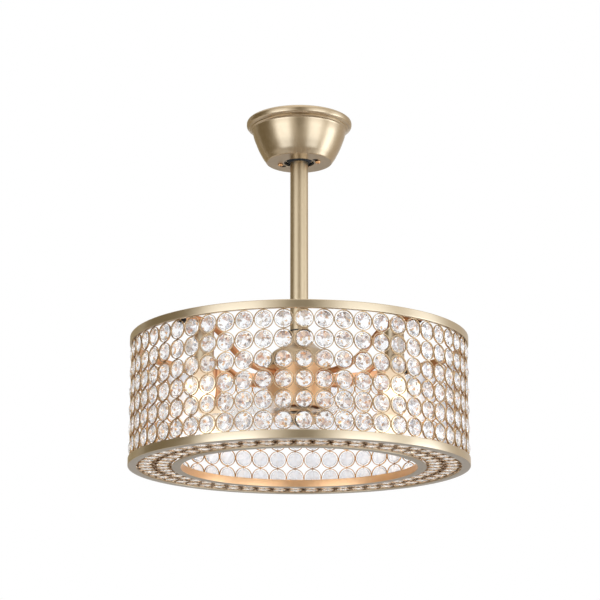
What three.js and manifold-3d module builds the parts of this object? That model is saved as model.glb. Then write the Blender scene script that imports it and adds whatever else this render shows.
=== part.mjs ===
// Crystal ceiling fan: a drum of ringed beads with four lamps and a clear-bladed fan
// inside, hung on a downrod. Millimetres, +Z up. The origin is the centre of the face
// that meets the ceiling, and the front is -Y.

import * as THREE from 'three';
import { mergeVertices } from 'three/addons/utils/BufferGeometryUtils.js';
import Module from 'manifold-3d';

const wasm = await Module();
wasm.setup();

// Driving dimensions shared by several pieces

const fitGap = 0.3;
const runningGap = 0.6;
const cutOverrun = 1;
const overallDrop = 535;

const drum = {
  radius: 250,
  columns: 56,
  rows: 6,
  ringPitch: 28,
  bandHeight: 12,
  bandWidth: 6.5,
  netDepth: 4.2,
  latticeTurn: THREE.MathUtils.degToRad(1.5),
};

const base = {
  holeShare: 0.69,
  outerFlange: 13,
  innerFlange: 13.5,
  sheet: 1.5,
  lipHeight: 11,
  innerColumns: 50,
  netRise: 0.6,
};

const canopy = {
  radius: 80,
  height: 67.6,
  wall: 1.2,
  holeRadius: 23,
};

const rod = {
  radius: 13.45,
  wall: 2.6,
  aboveBall: 2,
};

const ball = {
  radius: 28,
  aboveCentre: 18,
  belowCentre: 24,
  grooveDepth: 5,
  grooveWidth: 4.6,
};

const bracket = {
  plateLength: 110,
  plateWidth: 36,
  sheet: 2.5,
  strapWidth: 24,
  strapInside: 33,
  seatThickness: 3,
  seatWidth: 42,
  seatHoleRadius: 21,
  seatEntryMargin: 1.6,
  tabHeight: 6,
  tabGap: 1.5,
  slotLength: 18,
  slotWidth: 5.5,
  slotFromEnd: 16,
};

const canopyScrew = {
  circleRadius: 29,
  turn: THREE.MathUtils.degToRad(-13),
  shankRadius: 2,
  shankStandout: 1,
  headRadius: 4,
  headHeight: 2.2,
  headFaceShare: 0.7,
  recessRadius: 1.6,
  recessDepth: 1,
  entryRadius: 4.6,
  entryTurn: THREE.MathUtils.degToRad(-19),
};

const receiver = {
  length: 58,
  width: 30,
  height: 13,
};

const pin = {
  radius: 3,
  ballPinLength: 46,
  ballPinRise: 8,
  couplingPinLength: 40,
  couplingPinRise: 13,
};

const coupling = {
  radius: 17.5,
  height: 31.7,
  flangeRadius: 30,
  flangeThickness: 3,
  floorThickness: 5.7,
};

const housing = {
  radius: 47,
  bottomHeight: 85,
  bodyHeight: 65,
  domeHeight: 53.4,
  wall: 1.5,
  cornerRadius: 12,
  mouthRadius: 36.5,
  neckRadius: 15.4,
};

const washer = {
  width: 2.6,
  height: 1.7,
};

const motor = {
  shaftRadius: 6,
  shaftBore: 2.5,
  headRadius: 8.5,
  headHeight: 4,
  bearingRadius: 13,
  bearingHeight: 5,
  bellRadius: 43,
  bellWall: 3.5,
  bellHeight: 43.5,
  headroom: 4.5,
  coreRadius: 32,
  coreHeight: 18,
  windingRadius: 29,
  windingBore: 17,
  windingHeight: 5,
  magnetThickness: 5,
  magnetHeight: 22,
  neckRadius: 30,
  neckWall: 10,
  neckBelowHousing: 4.7,
};

const blade = {
  count: 5,
  tipGap: 12.5,
  rootRadius: 22,
  rootWidth: 24,
  width: 62,
  thickness: 4,
  pitch: THREE.MathUtils.degToRad(12),
  plateRadius: 40,
  plateThickness: 2,
  studRadius: 4,
  studStandout: 2.5,
  nutRadius: 12,
  nutHeight: 9,
};

const arm = {
  count: 4,
  firstTurn: THREE.MathUtils.degToRad(45),
  radius: 4.75,
  rootAboveHousing: 50,
  endBelowRim: 7,
  nutInset: 9,
  nutRadius: 8,
  nutThickness: 7,
};

const lamp = {
  circleShare: 0.76,
  sleeveRadius: 14,
  sleeveLength: 58,
  sleeveWall: 1.2,
  stubRadius: 5,
  stubLength: 8.5,
  socketRadius: 11.5,
  socketLength: 46.5,
  baseRadius: 6.1,
  baseDepth: 25,
  bulbRadius: 17,
  bulbLength: 72,
};

// Derived heights in the hanging frame, where zero is the drum's lower edge

const drumHeight = drum.rows * drum.ringPitch + 2 * drum.bandHeight;
const columnStep = 2 * Math.PI / drum.columns;
const columnPhase = drum.latticeTurn - columnStep / 2;
const facetShare = Math.cos(columnStep / 2);

const seatBottomDepth = canopy.height - canopy.wall - fitGap;
const seatTopDepth = seatBottomDepth - bracket.seatThickness;
const ballSeatRadius = ball.radius + runningGap;
const ballDepth = seatTopDepth - Math.sqrt(ballSeatRadius ** 2 - bracket.seatHoleRadius ** 2);
const ballHeight = overallDrop - ballDepth;

const housingTop = housing.bottomHeight + housing.bodyHeight;
const housingPlateBottom = housingTop - housing.wall;
const domeBottom = housingTop + fitGap;
const domeTop = domeBottom + housing.domeHeight;
const couplingBottom = domeBottom;
const couplingFloorTop = couplingBottom + coupling.floorThickness;
const rodBottom = couplingFloorTop + fitGap;
const rodTop = ballHeight + ball.aboveCentre + rod.aboveBall;

const bellTop = housingPlateBottom - motor.headroom;
const bellBottom = bellTop - motor.bellHeight;
const rotorBaseTop = bellBottom - fitGap;
const rotorBaseBottom = rotorBaseTop - motor.bearingHeight;
const coreMiddle = (bellTop - motor.bearingHeight + rotorBaseTop) / 2;
const neckBottom = housing.bottomHeight - motor.neckBelowHousing;

const plateBottom = neckBottom - fitGap - blade.plateThickness;
const bladeMiddle = plateBottom - fitGap - blade.thickness / 2;
const clampTop = bladeMiddle - blade.thickness / 2 - fitGap;
const clampBottom = clampTop - blade.plateThickness;

const armRootRadius = housing.radius + fitGap;
const armEndRadius = (drum.radius - drum.bandWidth) * facetShare - runningGap;
const armRootHeight = housing.bottomHeight + arm.rootAboveHousing;
const armEndHeight = drumHeight - arm.endBelowRim;

const netOuterRadius = drum.radius - (drum.bandWidth - drum.netDepth) / 2;
const baseOuterRadius = drum.radius - base.outerFlange;
const baseHoleRadius = base.holeShare * drum.radius;
const baseInnerRadius = baseHoleRadius + base.innerFlange;
const baseMiddleRadius = (baseOuterRadius + baseInnerRadius) / 2;
const bladeTipRadius = baseHoleRadius - blade.tipGap;
const lampCircleRadius = lamp.circleShare * drum.radius;

// Finishes

const gold = { color: 0xb9a57d, roughness: 0.32, metalness: 0.95 };
const goldNet = { color: 0xd8c49a, roughness: 0.25, metalness: 0.8 };
const steel = { color: 0x9a9a98, roughness: 0.4, metalness: 0.9 };
const black = { color: 0x161616, roughness: 0.55, metalness: 0 };
const copper = { color: 0xb26f3c, roughness: 0.45, metalness: 0.8 };
const brass = { color: 0xc08a52, roughness: 0.35, metalness: 0.9 };
const magnetGrey = { color: 0x3c3c40, roughness: 0.6, metalness: 0.4 };
const acrylic = { color: 0xf2f5f5, roughness: 0.05, metalness: 0, transparent: true, opacity: 0.35 };
const warmGlass = { color: 0xfff0d0, roughness: 0.1, metalness: 0, emissive: 0xffd9a0 };

// Shape helpers

// Merges shared corners, drops collapsed triangles and turns every face outward.
function closedGeometry(source) {
  const bare = source.clone();
  bare.deleteAttribute('normal');
  bare.deleteAttribute('uv');
  const merged = mergeVertices(bare);
  const corners = merged.index.array;
  const kept = [];
  let volume = 0;
  const [a, b, c] = [new THREE.Vector3(), new THREE.Vector3(), new THREE.Vector3()];
  for (let i = 0; i < corners.length; i += 3) {
    const [p, q, r] = [corners[i], corners[i + 1], corners[i + 2]];
    if (p === q || q === r || r === p) continue;
    kept.push([p, q, r]);
    a.fromBufferAttribute(merged.attributes.position, p);
    b.fromBufferAttribute(merged.attributes.position, q);
    c.fromBufferAttribute(merged.attributes.position, r);
    volume += a.dot(b.cross(c));
  }
  const outward = volume > 0 ? kept : kept.map(([p, q, r]) => [p, r, q]);
  merged.setIndex(outward.flat());
  merged.computeVertexNormals();
  return merged;
}

function toSolid(geometry) {
  const closed = closedGeometry(geometry);
  return new wasm.Manifold(new wasm.Mesh({
    numProp: 3,
    vertProperties: new Float32Array(closed.attributes.position.array),
    triVerts: new Uint32Array(closed.index.array),
  }));
}

function toGeometry(solid) {
  const mesh = solid.getMesh();
  const geometry = new THREE.BufferGeometry();
  geometry.setAttribute('position', new THREE.BufferAttribute(mesh.vertProperties, 3));
  geometry.setIndex(new THREE.BufferAttribute(mesh.triVerts, 1));
  geometry.computeVertexNormals();
  return geometry;
}

function cut(body, ...tools) {
  return toGeometry(tools.reduce((rest, tool) => rest.subtract(toSolid(tool)), toSolid(body)));
}

function join(body, ...others) {
  return toGeometry(others.reduce((sum, other) => sum.add(toSolid(other)), toSolid(body)));
}

// Turns an outline of [radius, height] pairs about Z. An outline that leaves the axis
// out is closed on itself. The phase is the angle of the first corner from the front.
function turned(outline, sides, phase = 0) {
  const points = outline.map(([radius, height]) => new THREE.Vector2(radius, height));
  if (outline[0][0] > 0) points.push(points[0].clone());
  return closedGeometry(new THREE.LatheGeometry(points, sides, phase).rotateX(Math.PI / 2));
}

function tube(outerRadius, boreRadius, bottom, top, sides, phase = 0) {
  const outline = [[boreRadius, bottom], [outerRadius, bottom], [outerRadius, top], [boreRadius, top]];
  return turned(outline, sides, phase);
}

function disc(radius, bottom, top, sides) {
  return turned([[0, bottom], [radius, bottom], [radius, top], [0, top]], sides);
}

function block(xRange, yRange, zRange) {
  const size = [xRange, yRange, zRange].map(([low, high]) => high - low);
  const middle = [xRange, yRange, zRange].map(([low, high]) => (low + high) / 2);
  return closedGeometry(new THREE.BoxGeometry(...size).translate(...middle));
}

// A plain round bar through the point (0, 0, height), along X or Y.
function crossBar(radius, length, height, axis, sides) {
  const bar = new THREE.CylinderGeometry(radius, radius, length, sides);
  if (axis === 'x') bar.rotateZ(Math.PI / 2);
  return closedGeometry(bar.translate(0, 0, height));
}

function scaled(shares, radius, bottom, height) {
  return shares.map(([r, h]) => [r * radius, bottom + h * height]);
}

// Point at a radius, height and angle from the front, counted towards +X.
function around(radius, angle, height) {
  return new THREE.Vector3(radius * Math.sin(angle), -radius * Math.cos(angle), height);
}

// Net of octagon tiles, one for each ring and its bead, with four-sided gaps between.
// corner(column, row, face) gives the lattice corners on faces 0 and 1, and the margins
// draw the net's edges in by a share of a tile.
function octagonNet(columns, rows, columnMarginShare, rowMarginShare, corner) {
  const cornerShare = 1 - Math.SQRT1_2;
  const positions = [];

  function latticePoint(u, v, face) {
    const across = THREE.MathUtils.clamp(u, columnMarginShare, columns - columnMarginShare);
    const up = THREE.MathUtils.clamp(v, rowMarginShare, rows - rowMarginShare);
    const column = Math.floor(across);
    const here = corner(column, up, face);
    return across === column ? here : here.lerp(corner(column + 1, up, face), across - column);
  }

  function addTriangle(...points) {
    points.forEach((point) => positions.push(...point.toArray()));
  }

  function addTile(column, row) {
    const [left, right, low, high] = [column, column + 1, row, row + 1];
    const hasNeighbour = [low > 0, right < columns, high < rows, left > 0];
    const rim = [
      [left + cornerShare, low], [right - cornerShare, low],
      [right, low + cornerShare], [right, high - cornerShare],
      [right - cornerShare, high], [left + cornerShare, high],
      [left, high - cornerShare], [left, low + cornerShare],
    ];
    const front = rim.map(([u, v]) => latticePoint(u, v, 0));
    const back = rim.map(([u, v]) => latticePoint(u, v, 1));
    for (let i = 1; i + 1 < rim.length; i += 1) {
      addTriangle(front[0], front[i], front[i + 1]);
      addTriangle(back[0], back[i + 1], back[i]);
    }
    rim.forEach((_, i) => {
      if (i % 2 === 0 && hasNeighbour[i / 2]) return;
      const j = (i + 1) % rim.length;
      addTriangle(front[j], front[i], back[i]);
      addTriangle(front[j], back[i], back[j]);
    });
  }

  for (let column = 0; column < columns; column += 1) {
    for (let row = 0; row < rows; row += 1) addTile(column, row);
  }
  const geometry = new THREE.BufferGeometry();
  geometry.setAttribute('position', new THREE.Float32BufferAttribute(positions, 3));
  return closedGeometry(geometry);
}

// Ceiling pieces, in the frame whose zero is the ceiling

function screwPoint(side, turn = 0) {
  const angle = canopyScrew.turn + turn;
  return [Math.cos(angle), Math.sin(angle)].map((share) => side * canopyScrew.circleRadius * share);
}

function bracketGeometry() {
  const halfWidth = bracket.plateWidth / 2;
  const halfStrap = bracket.strapWidth / 2;
  const strapOutside = bracket.strapInside + bracket.sheet;
  const plate = block(
    [-bracket.plateLength / 2, bracket.plateLength / 2], [-halfWidth, halfWidth], [-bracket.sheet, 0]);
  const straps = [-1, 1].map((side) => block(
    [bracket.strapInside, strapOutside].map((x) => side * x).sort((a, b) => a - b),
    [-halfStrap, halfStrap], [-seatBottomDepth, 0]));
  const seat = block(
    [-strapOutside, strapOutside], [-bracket.seatWidth / 2, bracket.seatWidth / 2],
    [-seatBottomDepth, -seatTopDepth]);
  const tabTip = ball.radius - ball.grooveDepth + bracket.tabGap;
  const halfTab = ball.grooveWidth / 2 - fitGap;
  const tab = block(
    [tabTip, strapOutside], [-halfTab, halfTab],
    [-ballDepth - bracket.tabHeight / 2, -ballDepth + bracket.tabHeight / 2]);
  const cutRange = [-seatBottomDepth - cutOverrun, -seatTopDepth + cutOverrun];
  const seatHole = disc(bracket.seatHoleRadius, ...cutRange, 24);
  const entryHalf = rod.radius + bracket.seatEntryMargin;
  const entry = block([-entryHalf, entryHalf], [-bracket.seatWidth, 0], cutRange);
  const tapped = [-1, 1].map((side) => disc(canopyScrew.shankRadius + fitGap, ...cutRange, 12)
    .translate(...screwPoint(side), 0));
  const slotEnd = bracket.plateLength / 2 - bracket.slotFromEnd / 2;
  const slots = [-1, 1].map((side) => block(
    [slotEnd - bracket.slotWidth, slotEnd].map((x) => side * x).sort((a, b) => a - b),
    [-bracket.slotLength / 2, bracket.slotLength / 2], [-bracket.sheet - cutOverrun, cutOverrun]));
  return cut(join(plate, ...straps, seat, tab), seatHole, entry, ...tapped, ...slots);
}

// Canopy outline as shares of its radius and of its height, from the rim down.
const canopyShares = [
  [0.985, 0.008], [1, 0.07], [0.994, 0.16], [0.965, 0.24], [0.903, 0.3], [0.908, 0.335],
  [0.882, 0.365], [0.82, 0.571], [0.725, 0.806], [0.673, 0.925], [0.645, 0.985], [0.618, 1],
];
const canopyLiningShares = [
  [0.67, 0.925], [0.72, 0.806], [0.878, 0.37], [0.9, 0.3], [0.96, 0.235], [0.983, 0.008],
];

function canopyGeometry() {
  const outside = canopyShares.map(([r, depth]) => [r * canopy.radius, -depth * canopy.height]);
  const lining = canopyLiningShares.map(
    ([r, depth]) => [r * canopy.radius - canopy.wall, -depth * canopy.height]);
  const floorTop = canopy.wall - canopy.height;
  const cornerRadius = canopyShares.at(-1)[0] * canopy.radius;
  const shell = turned([
    ...outside, [canopy.holeRadius, -canopy.height], [canopy.holeRadius, floorTop],
    [cornerRadius, floorTop], ...lining,
  ], 28);
  const range = [-canopy.height - cutOverrun, floorTop + cutOverrun];
  const cuts = [-1, 1].flatMap((side) => {
    const [x, y] = screwPoint(side);
    const [entryX, entryY] = screwPoint(side, canopyScrew.entryTurn);
    const shankHole = canopyScrew.shankRadius + fitGap;
    const length = Math.hypot(entryX - x, entryY - y);
    const slot = block([0, length], [-shankHole, shankHole], range)
      .rotateZ(Math.atan2(entryY - y, entryX - x)).translate(x, y, 0);
    return [
      disc(shankHole, ...range, 12).translate(x, y, 0),
      disc(canopyScrew.entryRadius, ...range, 12).translate(entryX, entryY, 0),
      slot,
    ];
  });
  return cut(shell, ...cuts);
}

function canopyScrewGeometry() {
  const headTop = -canopy.height - fitGap;
  const headBottom = headTop - canopyScrew.headHeight;
  const shankTop = canopyScrew.shankStandout - seatTopDepth;
  return turned([
    [0, headBottom + canopyScrew.recessDepth], [canopyScrew.recessRadius, headBottom],
    [canopyScrew.headRadius * canopyScrew.headFaceShare, headBottom], [canopyScrew.headRadius, headTop],
    [canopyScrew.shankRadius, headTop], [canopyScrew.shankRadius, shankTop], [0, shankTop],
  ], 12);
}

function receiverGeometry() {
  const top = -bracket.sheet - fitGap;
  return block(
    [-receiver.length / 2, receiver.length / 2], [-receiver.width / 2, receiver.width / 2],
    [top - receiver.height, top]);
}

// Hanger pieces, in the hanging frame. What goes round the rod has its number of sides.

const rodSides = 16;

function ballGeometry() {
  const bore = rod.radius + fitGap;
  const low = Math.asin(-ball.belowCentre / ball.radius);
  const high = Math.asin(ball.aboveCentre / ball.radius);
  const arcSteps = 7;
  const arc = Array.from({ length: arcSteps + 1 }, (_, i) => {
    const angle = low + (high - low) * i / arcSteps;
    return [ball.radius * Math.cos(angle), ballHeight + ball.radius * Math.sin(angle)];
  });
  const sphere = turned([
    [bore, ballHeight - ball.belowCentre], ...arc, [bore, ballHeight + ball.aboveCentre],
  ], 20);
  const floor = ball.radius - ball.grooveDepth;
  const halfGroove = ball.grooveWidth / 2;
  const groove = block(
    [floor, ball.radius + cutOverrun], [-halfGroove, halfGroove],
    [ballHeight - ball.radius, ballHeight + ball.radius]);
  const pinHole = crossBar(
    pin.radius + fitGap, 2 * ball.radius, ballHeight + pin.ballPinRise, 'y', 12);
  return cut(sphere, groove, pinHole);
}

function rodGeometry() {
  const pipe = tube(rod.radius, rod.radius - rod.wall, rodBottom, rodTop, rodSides);
  const holeLength = 2 * (rod.radius + cutOverrun);
  const upper = crossBar(pin.radius + fitGap, holeLength, ballHeight + pin.ballPinRise, 'y', 12);
  const lower = crossBar(pin.radius + fitGap, holeLength, couplingFloorTop + pin.couplingPinRise, 'x', 12);
  return cut(pipe, upper, lower);
}

function couplingGeometry() {
  const bore = rod.radius + fitGap;
  const shaftHole = motor.shaftRadius + fitGap;
  const flangeTop = couplingBottom + coupling.flangeThickness;
  const top = couplingBottom + coupling.height;
  const sleeve = turned([
    [shaftHole, couplingBottom], [coupling.flangeRadius, couplingBottom],
    [coupling.flangeRadius, flangeTop], [coupling.radius, flangeTop], [coupling.radius, top],
    [bore, top], [bore, couplingFloorTop], [shaftHole, couplingFloorTop],
  ], rodSides);
  const pinHole = crossBar(
    pin.radius + fitGap, 2 * (coupling.radius + cutOverrun), couplingFloorTop + pin.couplingPinRise, 'x', 12);
  return cut(sleeve, pinHole);
}

// Housing pieces

function housingBodyGeometry() {
  const hole = motor.shaftRadius + fitGap;
  const bottom = housing.bottomHeight;
  const bend = housing.cornerRadius;
  const bendSteps = 3;
  const corner = (radius) => Array.from({ length: bendSteps + 1 }, (_, i) => {
    const angle = Math.PI / 2 * i / bendSteps;
    return [
      housing.radius - bend + radius * Math.cos(angle), bottom + bend - radius * Math.sin(angle)];
  });
  return turned([
    [hole, housingTop], [housing.radius, housingTop], ...corner(bend).slice(0, -1),
    [housing.mouthRadius, bottom], [housing.mouthRadius, bottom + housing.wall],
    ...corner(bend - housing.wall).reverse().slice(1),
    [housing.radius - housing.wall, housingPlateBottom], [hole, housingPlateBottom],
  ], 20);
}

// Dome outline between its foot and its neck, as shares of the difference in radius
// and of the height.
const domeShares = [
  [1, 0], [0.949, 0.2], [0.857, 0.335], [0.715, 0.435], [0.525, 0.51], [0.335, 0.595],
  [0.177, 0.69], [0.066, 0.79], [0, 1],
];
const domeLiningShares = [[0, 1], [0.045, 0.8], [0.3, 0.585], [0.69, 0.42], [0.93, 0.19], [1, 0]];

function domeGeometry() {
  const spread = housing.radius - housing.neckRadius;
  const place = ([r, h], inset) => [
    housing.neckRadius + r * spread - inset, domeBottom + h * housing.domeHeight];
  return turned([
    ...domeShares.map((share) => place(share, 0)),
    ...domeLiningShares.map((share) => place(share, housing.wall)),
  ], 20);
}

// Motor pieces. Rings that nest have the same number of sides.

const motorSides = 12;

function shaftGeometry() {
  const headTop = rotorBaseBottom - fitGap;
  const top = couplingFloorTop;
  return turned([
    [motor.shaftBore, headTop - motor.headHeight], [motor.headRadius, headTop - motor.headHeight],
    [motor.headRadius, headTop], [motor.shaftRadius, headTop], [motor.shaftRadius, top],
    [motor.shaftBore, top],
  ], 12);
}

function motorRing(outerRadius, boreRadius, middle, height) {
  return tube(outerRadius, boreRadius, middle - height / 2, middle + height / 2, motorSides);
}

function windingGeometry(side) {
  const middle = coreMiddle + side * (motor.coreHeight / 2 + fitGap + motor.windingHeight / 2);
  return motorRing(motor.windingRadius, motor.windingBore, middle, motor.windingHeight);
}

function bearingGeometry(middle) {
  return motorRing(motor.bearingRadius, motor.shaftRadius + fitGap, middle, motor.bearingHeight);
}

function bellGeometry() {
  const plateHole = motor.bearingRadius + fitGap;
  const inside = motor.bellRadius - motor.bellWall;
  const plateUnder = bellTop - motor.bearingHeight;
  return turned([
    [plateHole, bellTop], [motor.bellRadius, bellTop], [motor.bellRadius, bellBottom],
    [inside, bellBottom], [inside, plateUnder], [plateHole, plateUnder],
  ], motorSides);
}

function rotorBaseGeometry() {
  const plateHole = motor.bearingRadius + fitGap;
  const neckBore = motor.neckRadius - motor.neckWall;
  return turned([
    [plateHole, rotorBaseTop], [motor.bellRadius, rotorBaseTop], [motor.bellRadius, rotorBaseBottom],
    [motor.neckRadius, rotorBaseBottom], [motor.neckRadius, neckBottom], [neckBore, neckBottom],
    [neckBore, rotorBaseBottom], [plateHole, rotorBaseBottom],
  ], motorSides);
}

function magnetGeometry() {
  const outside = motor.bellRadius - motor.bellWall - fitGap;
  return motorRing(outside, outside - motor.magnetThickness, coreMiddle, motor.magnetHeight);
}

// Blade pieces

function bladePlateGeometry(bottom) {
  return tube(
    blade.plateRadius, blade.studRadius + fitGap, bottom, bottom + blade.plateThickness, 16);
}

function hubNutGeometry() {
  const top = clampBottom - fitGap;
  const studTop = plateBottom + blade.plateThickness + blade.studStandout;
  const steps = 4;
  const dome = Array.from({ length: steps }, (_, i) => {
    const angle = Math.PI / 2 * i / steps;
    return [blade.nutRadius * Math.sin(angle), top - blade.nutHeight * Math.cos(angle)];
  });
  return turned([
    ...dome, [blade.nutRadius, top], [blade.studRadius, top], [blade.studRadius, studTop], [0, studTop],
  ], 12);
}

// Blade outline: half-widths as shares of the full half-width, at shares of the length.
const bladeWidthShares = [
  [0, 0], [0.13, 0.06], [0.28, 0.82], [0.45, 1], [0.7, 1], [0.86, 0.9], [0.95, 0.66], [1, 0.3],
];
const bladeFlatShare = 0.14;
const bladeTwistedShare = 0.3;

function bladeGeometry() {
  const length = bladeTipRadius - blade.rootRadius;
  const stations = bladeWidthShares.length - 1;
  const sheet = new THREE.BoxGeometry(1, 1, blade.thickness, stations, 2, 1);
  const position = sheet.attributes.position;
  const rootHalf = blade.rootWidth / 2;
  const point = new THREE.Vector3();
  for (let i = 0; i < position.count; i += 1) {
    point.fromBufferAttribute(position, i);
    const [along, widthShare] = bladeWidthShares[Math.round((point.x + 1 / 2) * stations)];
    const halfWidth = rootHalf + widthShare * (blade.width / 2 - rootHalf);
    const turn = THREE.MathUtils.smoothstep(along, bladeFlatShare, bladeTwistedShare) * blade.pitch;
    point.set(0, 2 * point.y * halfWidth, point.z).applyAxisAngle(new THREE.Vector3(1, 0, 0), turn);
    point.x = blade.rootRadius + along * length;
    position.setXYZ(i, ...point.toArray());
  }
  return closedGeometry(sheet.translate(0, 0, bladeMiddle));
}

// Arms and lamps

// Arm route: shares of the reach from the housing to the band, and of the rise.
const armRouteShares = [
  [0, 0], [0.05, 0], [0.166, 0.036], [0.286, 0.13], [0.387, 0.3], [0.492, 0.58], [0.583, 0.85],
  [0.68, 1.02], [0.795, 1.09], [0.88, 1.045], [0.925, 1.006], [0.96, 1], [1, 1],
];
const armCurve = new THREE.CatmullRomCurve3(armRouteShares.map(([reach, rise]) => new THREE.Vector3(
  armRootRadius + reach * (armEndRadius - armRootRadius), 0,
  armRootHeight + rise * (armEndHeight - armRootHeight))));

// Height of the arm's centre line at a radius.
function armHeightAt(radius) {
  const points = armCurve.getSpacedPoints(200);
  const next = points.findIndex((point) => point.x >= radius);
  const [before, after] = [points[next - 1], points[next]];
  return THREE.MathUtils.mapLinear(radius, before.x, after.x, before.z, after.z);
}

function armGeometry() {
  const sides = 6;
  const section = new THREE.Shape(Array.from({ length: sides }, (_, i) => {
    const angle = 2 * Math.PI * (i + 1 / 2) / sides;
    return new THREE.Vector2(arm.radius * Math.cos(angle), arm.radius * Math.sin(angle));
  }));
  return closedGeometry(new THREE.ExtrudeGeometry(section, { steps: 16, extrudePath: armCurve }));
}

function armNutGeometry() {
  const middle = armEndRadius - arm.nutInset;
  const height = armHeightAt(middle);
  const half = arm.nutThickness / 2;
  const slope = Math.atan2(armHeightAt(middle + half) - armHeightAt(middle - half), arm.nutThickness);
  const hexagon = disc(arm.nutRadius, -half, half, 6);
  const bore = disc(arm.radius + runningGap, -half - cutOverrun, half + cutOverrun, 12);
  return cut(hexagon, bore).rotateY(Math.PI / 2 - slope).translate(middle, 0, height);
}

const lampSides = 12;
const stubTop = armHeightAt(lampCircleRadius - lamp.stubRadius) - arm.radius - fitGap;
const sleeveTop = stubTop - lamp.stubLength + lamp.sleeveWall + fitGap;
const socketTop = sleeveTop - lamp.sleeveWall - fitGap;
const socketBottom = socketTop - lamp.socketLength;

function sleeveGeometry() {
  const bottom = sleeveTop - lamp.sleeveLength;
  const inside = lamp.sleeveRadius - lamp.sleeveWall;
  const hole = lamp.stubRadius + fitGap;
  return turned([
    [hole, sleeveTop], [lamp.sleeveRadius, sleeveTop], [lamp.sleeveRadius, bottom], [inside, bottom],
    [inside, sleeveTop - lamp.sleeveWall], [hole, sleeveTop - lamp.sleeveWall],
  ], lampSides);
}

function socketGeometry() {
  const bore = lamp.baseRadius + fitGap;
  const boreTop = socketBottom + lamp.baseDepth + fitGap;
  return turned([
    [0, boreTop], [bore, boreTop], [bore, socketBottom], [lamp.socketRadius, socketBottom],
    [lamp.socketRadius, socketTop], [lamp.stubRadius, socketTop], [lamp.stubRadius, stubTop], [0, stubTop],
  ], lampSides);
}

// Bulb outline below its screw base: shares of the radius and of the glass length.
const bulbShares = [[0.6, 0], [0.68, 0.13], [0.96, 0.38], [0.97, 0.6], [0.68, 0.86], [0.28, 0.98], [0, 1]];

function bulbGeometry() {
  const glassTop = socketBottom - fitGap;
  const baseTop = socketBottom + lamp.baseDepth;
  const glass = scaled(bulbShares, lamp.bulbRadius, glassTop, -lamp.bulbLength);
  return turned([[0, baseTop], [lamp.baseRadius, baseTop], [lamp.baseRadius, glassTop], ...glass], lampSides);
}

// Drum pieces

function topBandGeometry() {
  const bottom = drumHeight - drum.bandHeight;
  return tube(drum.radius, drum.radius - drum.bandWidth, bottom, drumHeight, drum.columns, columnPhase);
}

function bottomBandGeometry() {
  const inside = drum.radius - drum.bandWidth;
  return turned([
    [baseOuterRadius, 0], [drum.radius, 0], [drum.radius, drum.bandHeight], [inside, drum.bandHeight],
    [inside, base.sheet], [baseOuterRadius, base.sheet],
  ], drum.columns, columnPhase);
}

const innerColumnStep = 2 * Math.PI / base.innerColumns;
const innerColumnPhase = drum.latticeTurn - innerColumnStep / 2;

function innerRingGeometry() {
  return turned([
    [baseHoleRadius, 0], [baseInnerRadius, 0], [baseInnerRadius, base.sheet],
    [baseHoleRadius + base.sheet, base.sheet], [baseHoleRadius + base.sheet, base.lipHeight],
    [baseHoleRadius, base.lipHeight],
  ], base.innerColumns, innerColumnPhase);
}

const panelColumns = drum.columns / 4;

function panelGeometry() {
  const facetWidth = 2 * netOuterRadius * Math.sin(columnStep / 2);
  const corner = (column, row, face) => around(
    netOuterRadius - face * drum.netDepth, columnPhase + (column - panelColumns / 2) * columnStep,
    drum.bandHeight + row * drum.ringPitch);
  return octagonNet(
    panelColumns, drum.rows, fitGap / 2 / facetWidth, fitGap / drum.ringPitch, corner);
}

// One row of rings and beads in the drum's underside, with a flat for each of them.
function baseRowGeometry(columns, outerRadius, boreRadius) {
  const phase = drum.latticeTurn - Math.PI / columns;
  return tube(
    outerRadius - fitGap, boreRadius + fitGap, base.netRise, base.netRise + drum.netDepth, columns, phase);
}

// Assembly

const fan = new THREE.Group();
const ceilingGroup = new THREE.Group();
const hangingGroup = new THREE.Group();
hangingGroup.position.z = -overallDrop;
fan.add(ceilingGroup, hangingGroup);

function addPiece(group, name, geometry, finish) {
  const mesh = new THREE.Mesh(geometry, new THREE.MeshStandardMaterial(finish));
  mesh.name = name;
  group.add(mesh);
  return mesh;
}

addPiece(ceilingGroup, 'hanging_bracket', bracketGeometry(), steel);
addPiece(ceilingGroup, 'canopy', canopyGeometry(), gold);
addPiece(ceilingGroup, 'remote_receiver', receiverGeometry(), black);
[[-1, 'left'], [1, 'right']].forEach(([side, label]) => {
  const screw = addPiece(ceilingGroup, `canopy_screw_${label}`, canopyScrewGeometry(), brass);
  screw.position.set(...screwPoint(side), 0);
});

addPiece(hangingGroup, 'hanger_ball', ballGeometry(), black);
addPiece(hangingGroup, 'ball_pin', crossBar(
  pin.radius, pin.ballPinLength, ballHeight + pin.ballPinRise, 'y', 12), steel);
addPiece(hangingGroup, 'downrod', rodGeometry(), gold);
addPiece(hangingGroup, 'rod_washer', tube(
  rod.radius + fitGap + washer.width, rod.radius + fitGap,
  domeTop + fitGap, domeTop + fitGap + washer.height, rodSides), black);
addPiece(hangingGroup, 'motor_coupling', couplingGeometry(), steel);
addPiece(hangingGroup, 'coupling_pin', crossBar(
  pin.radius, pin.couplingPinLength, couplingFloorTop + pin.couplingPinRise, 'x', 12), steel);

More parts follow.
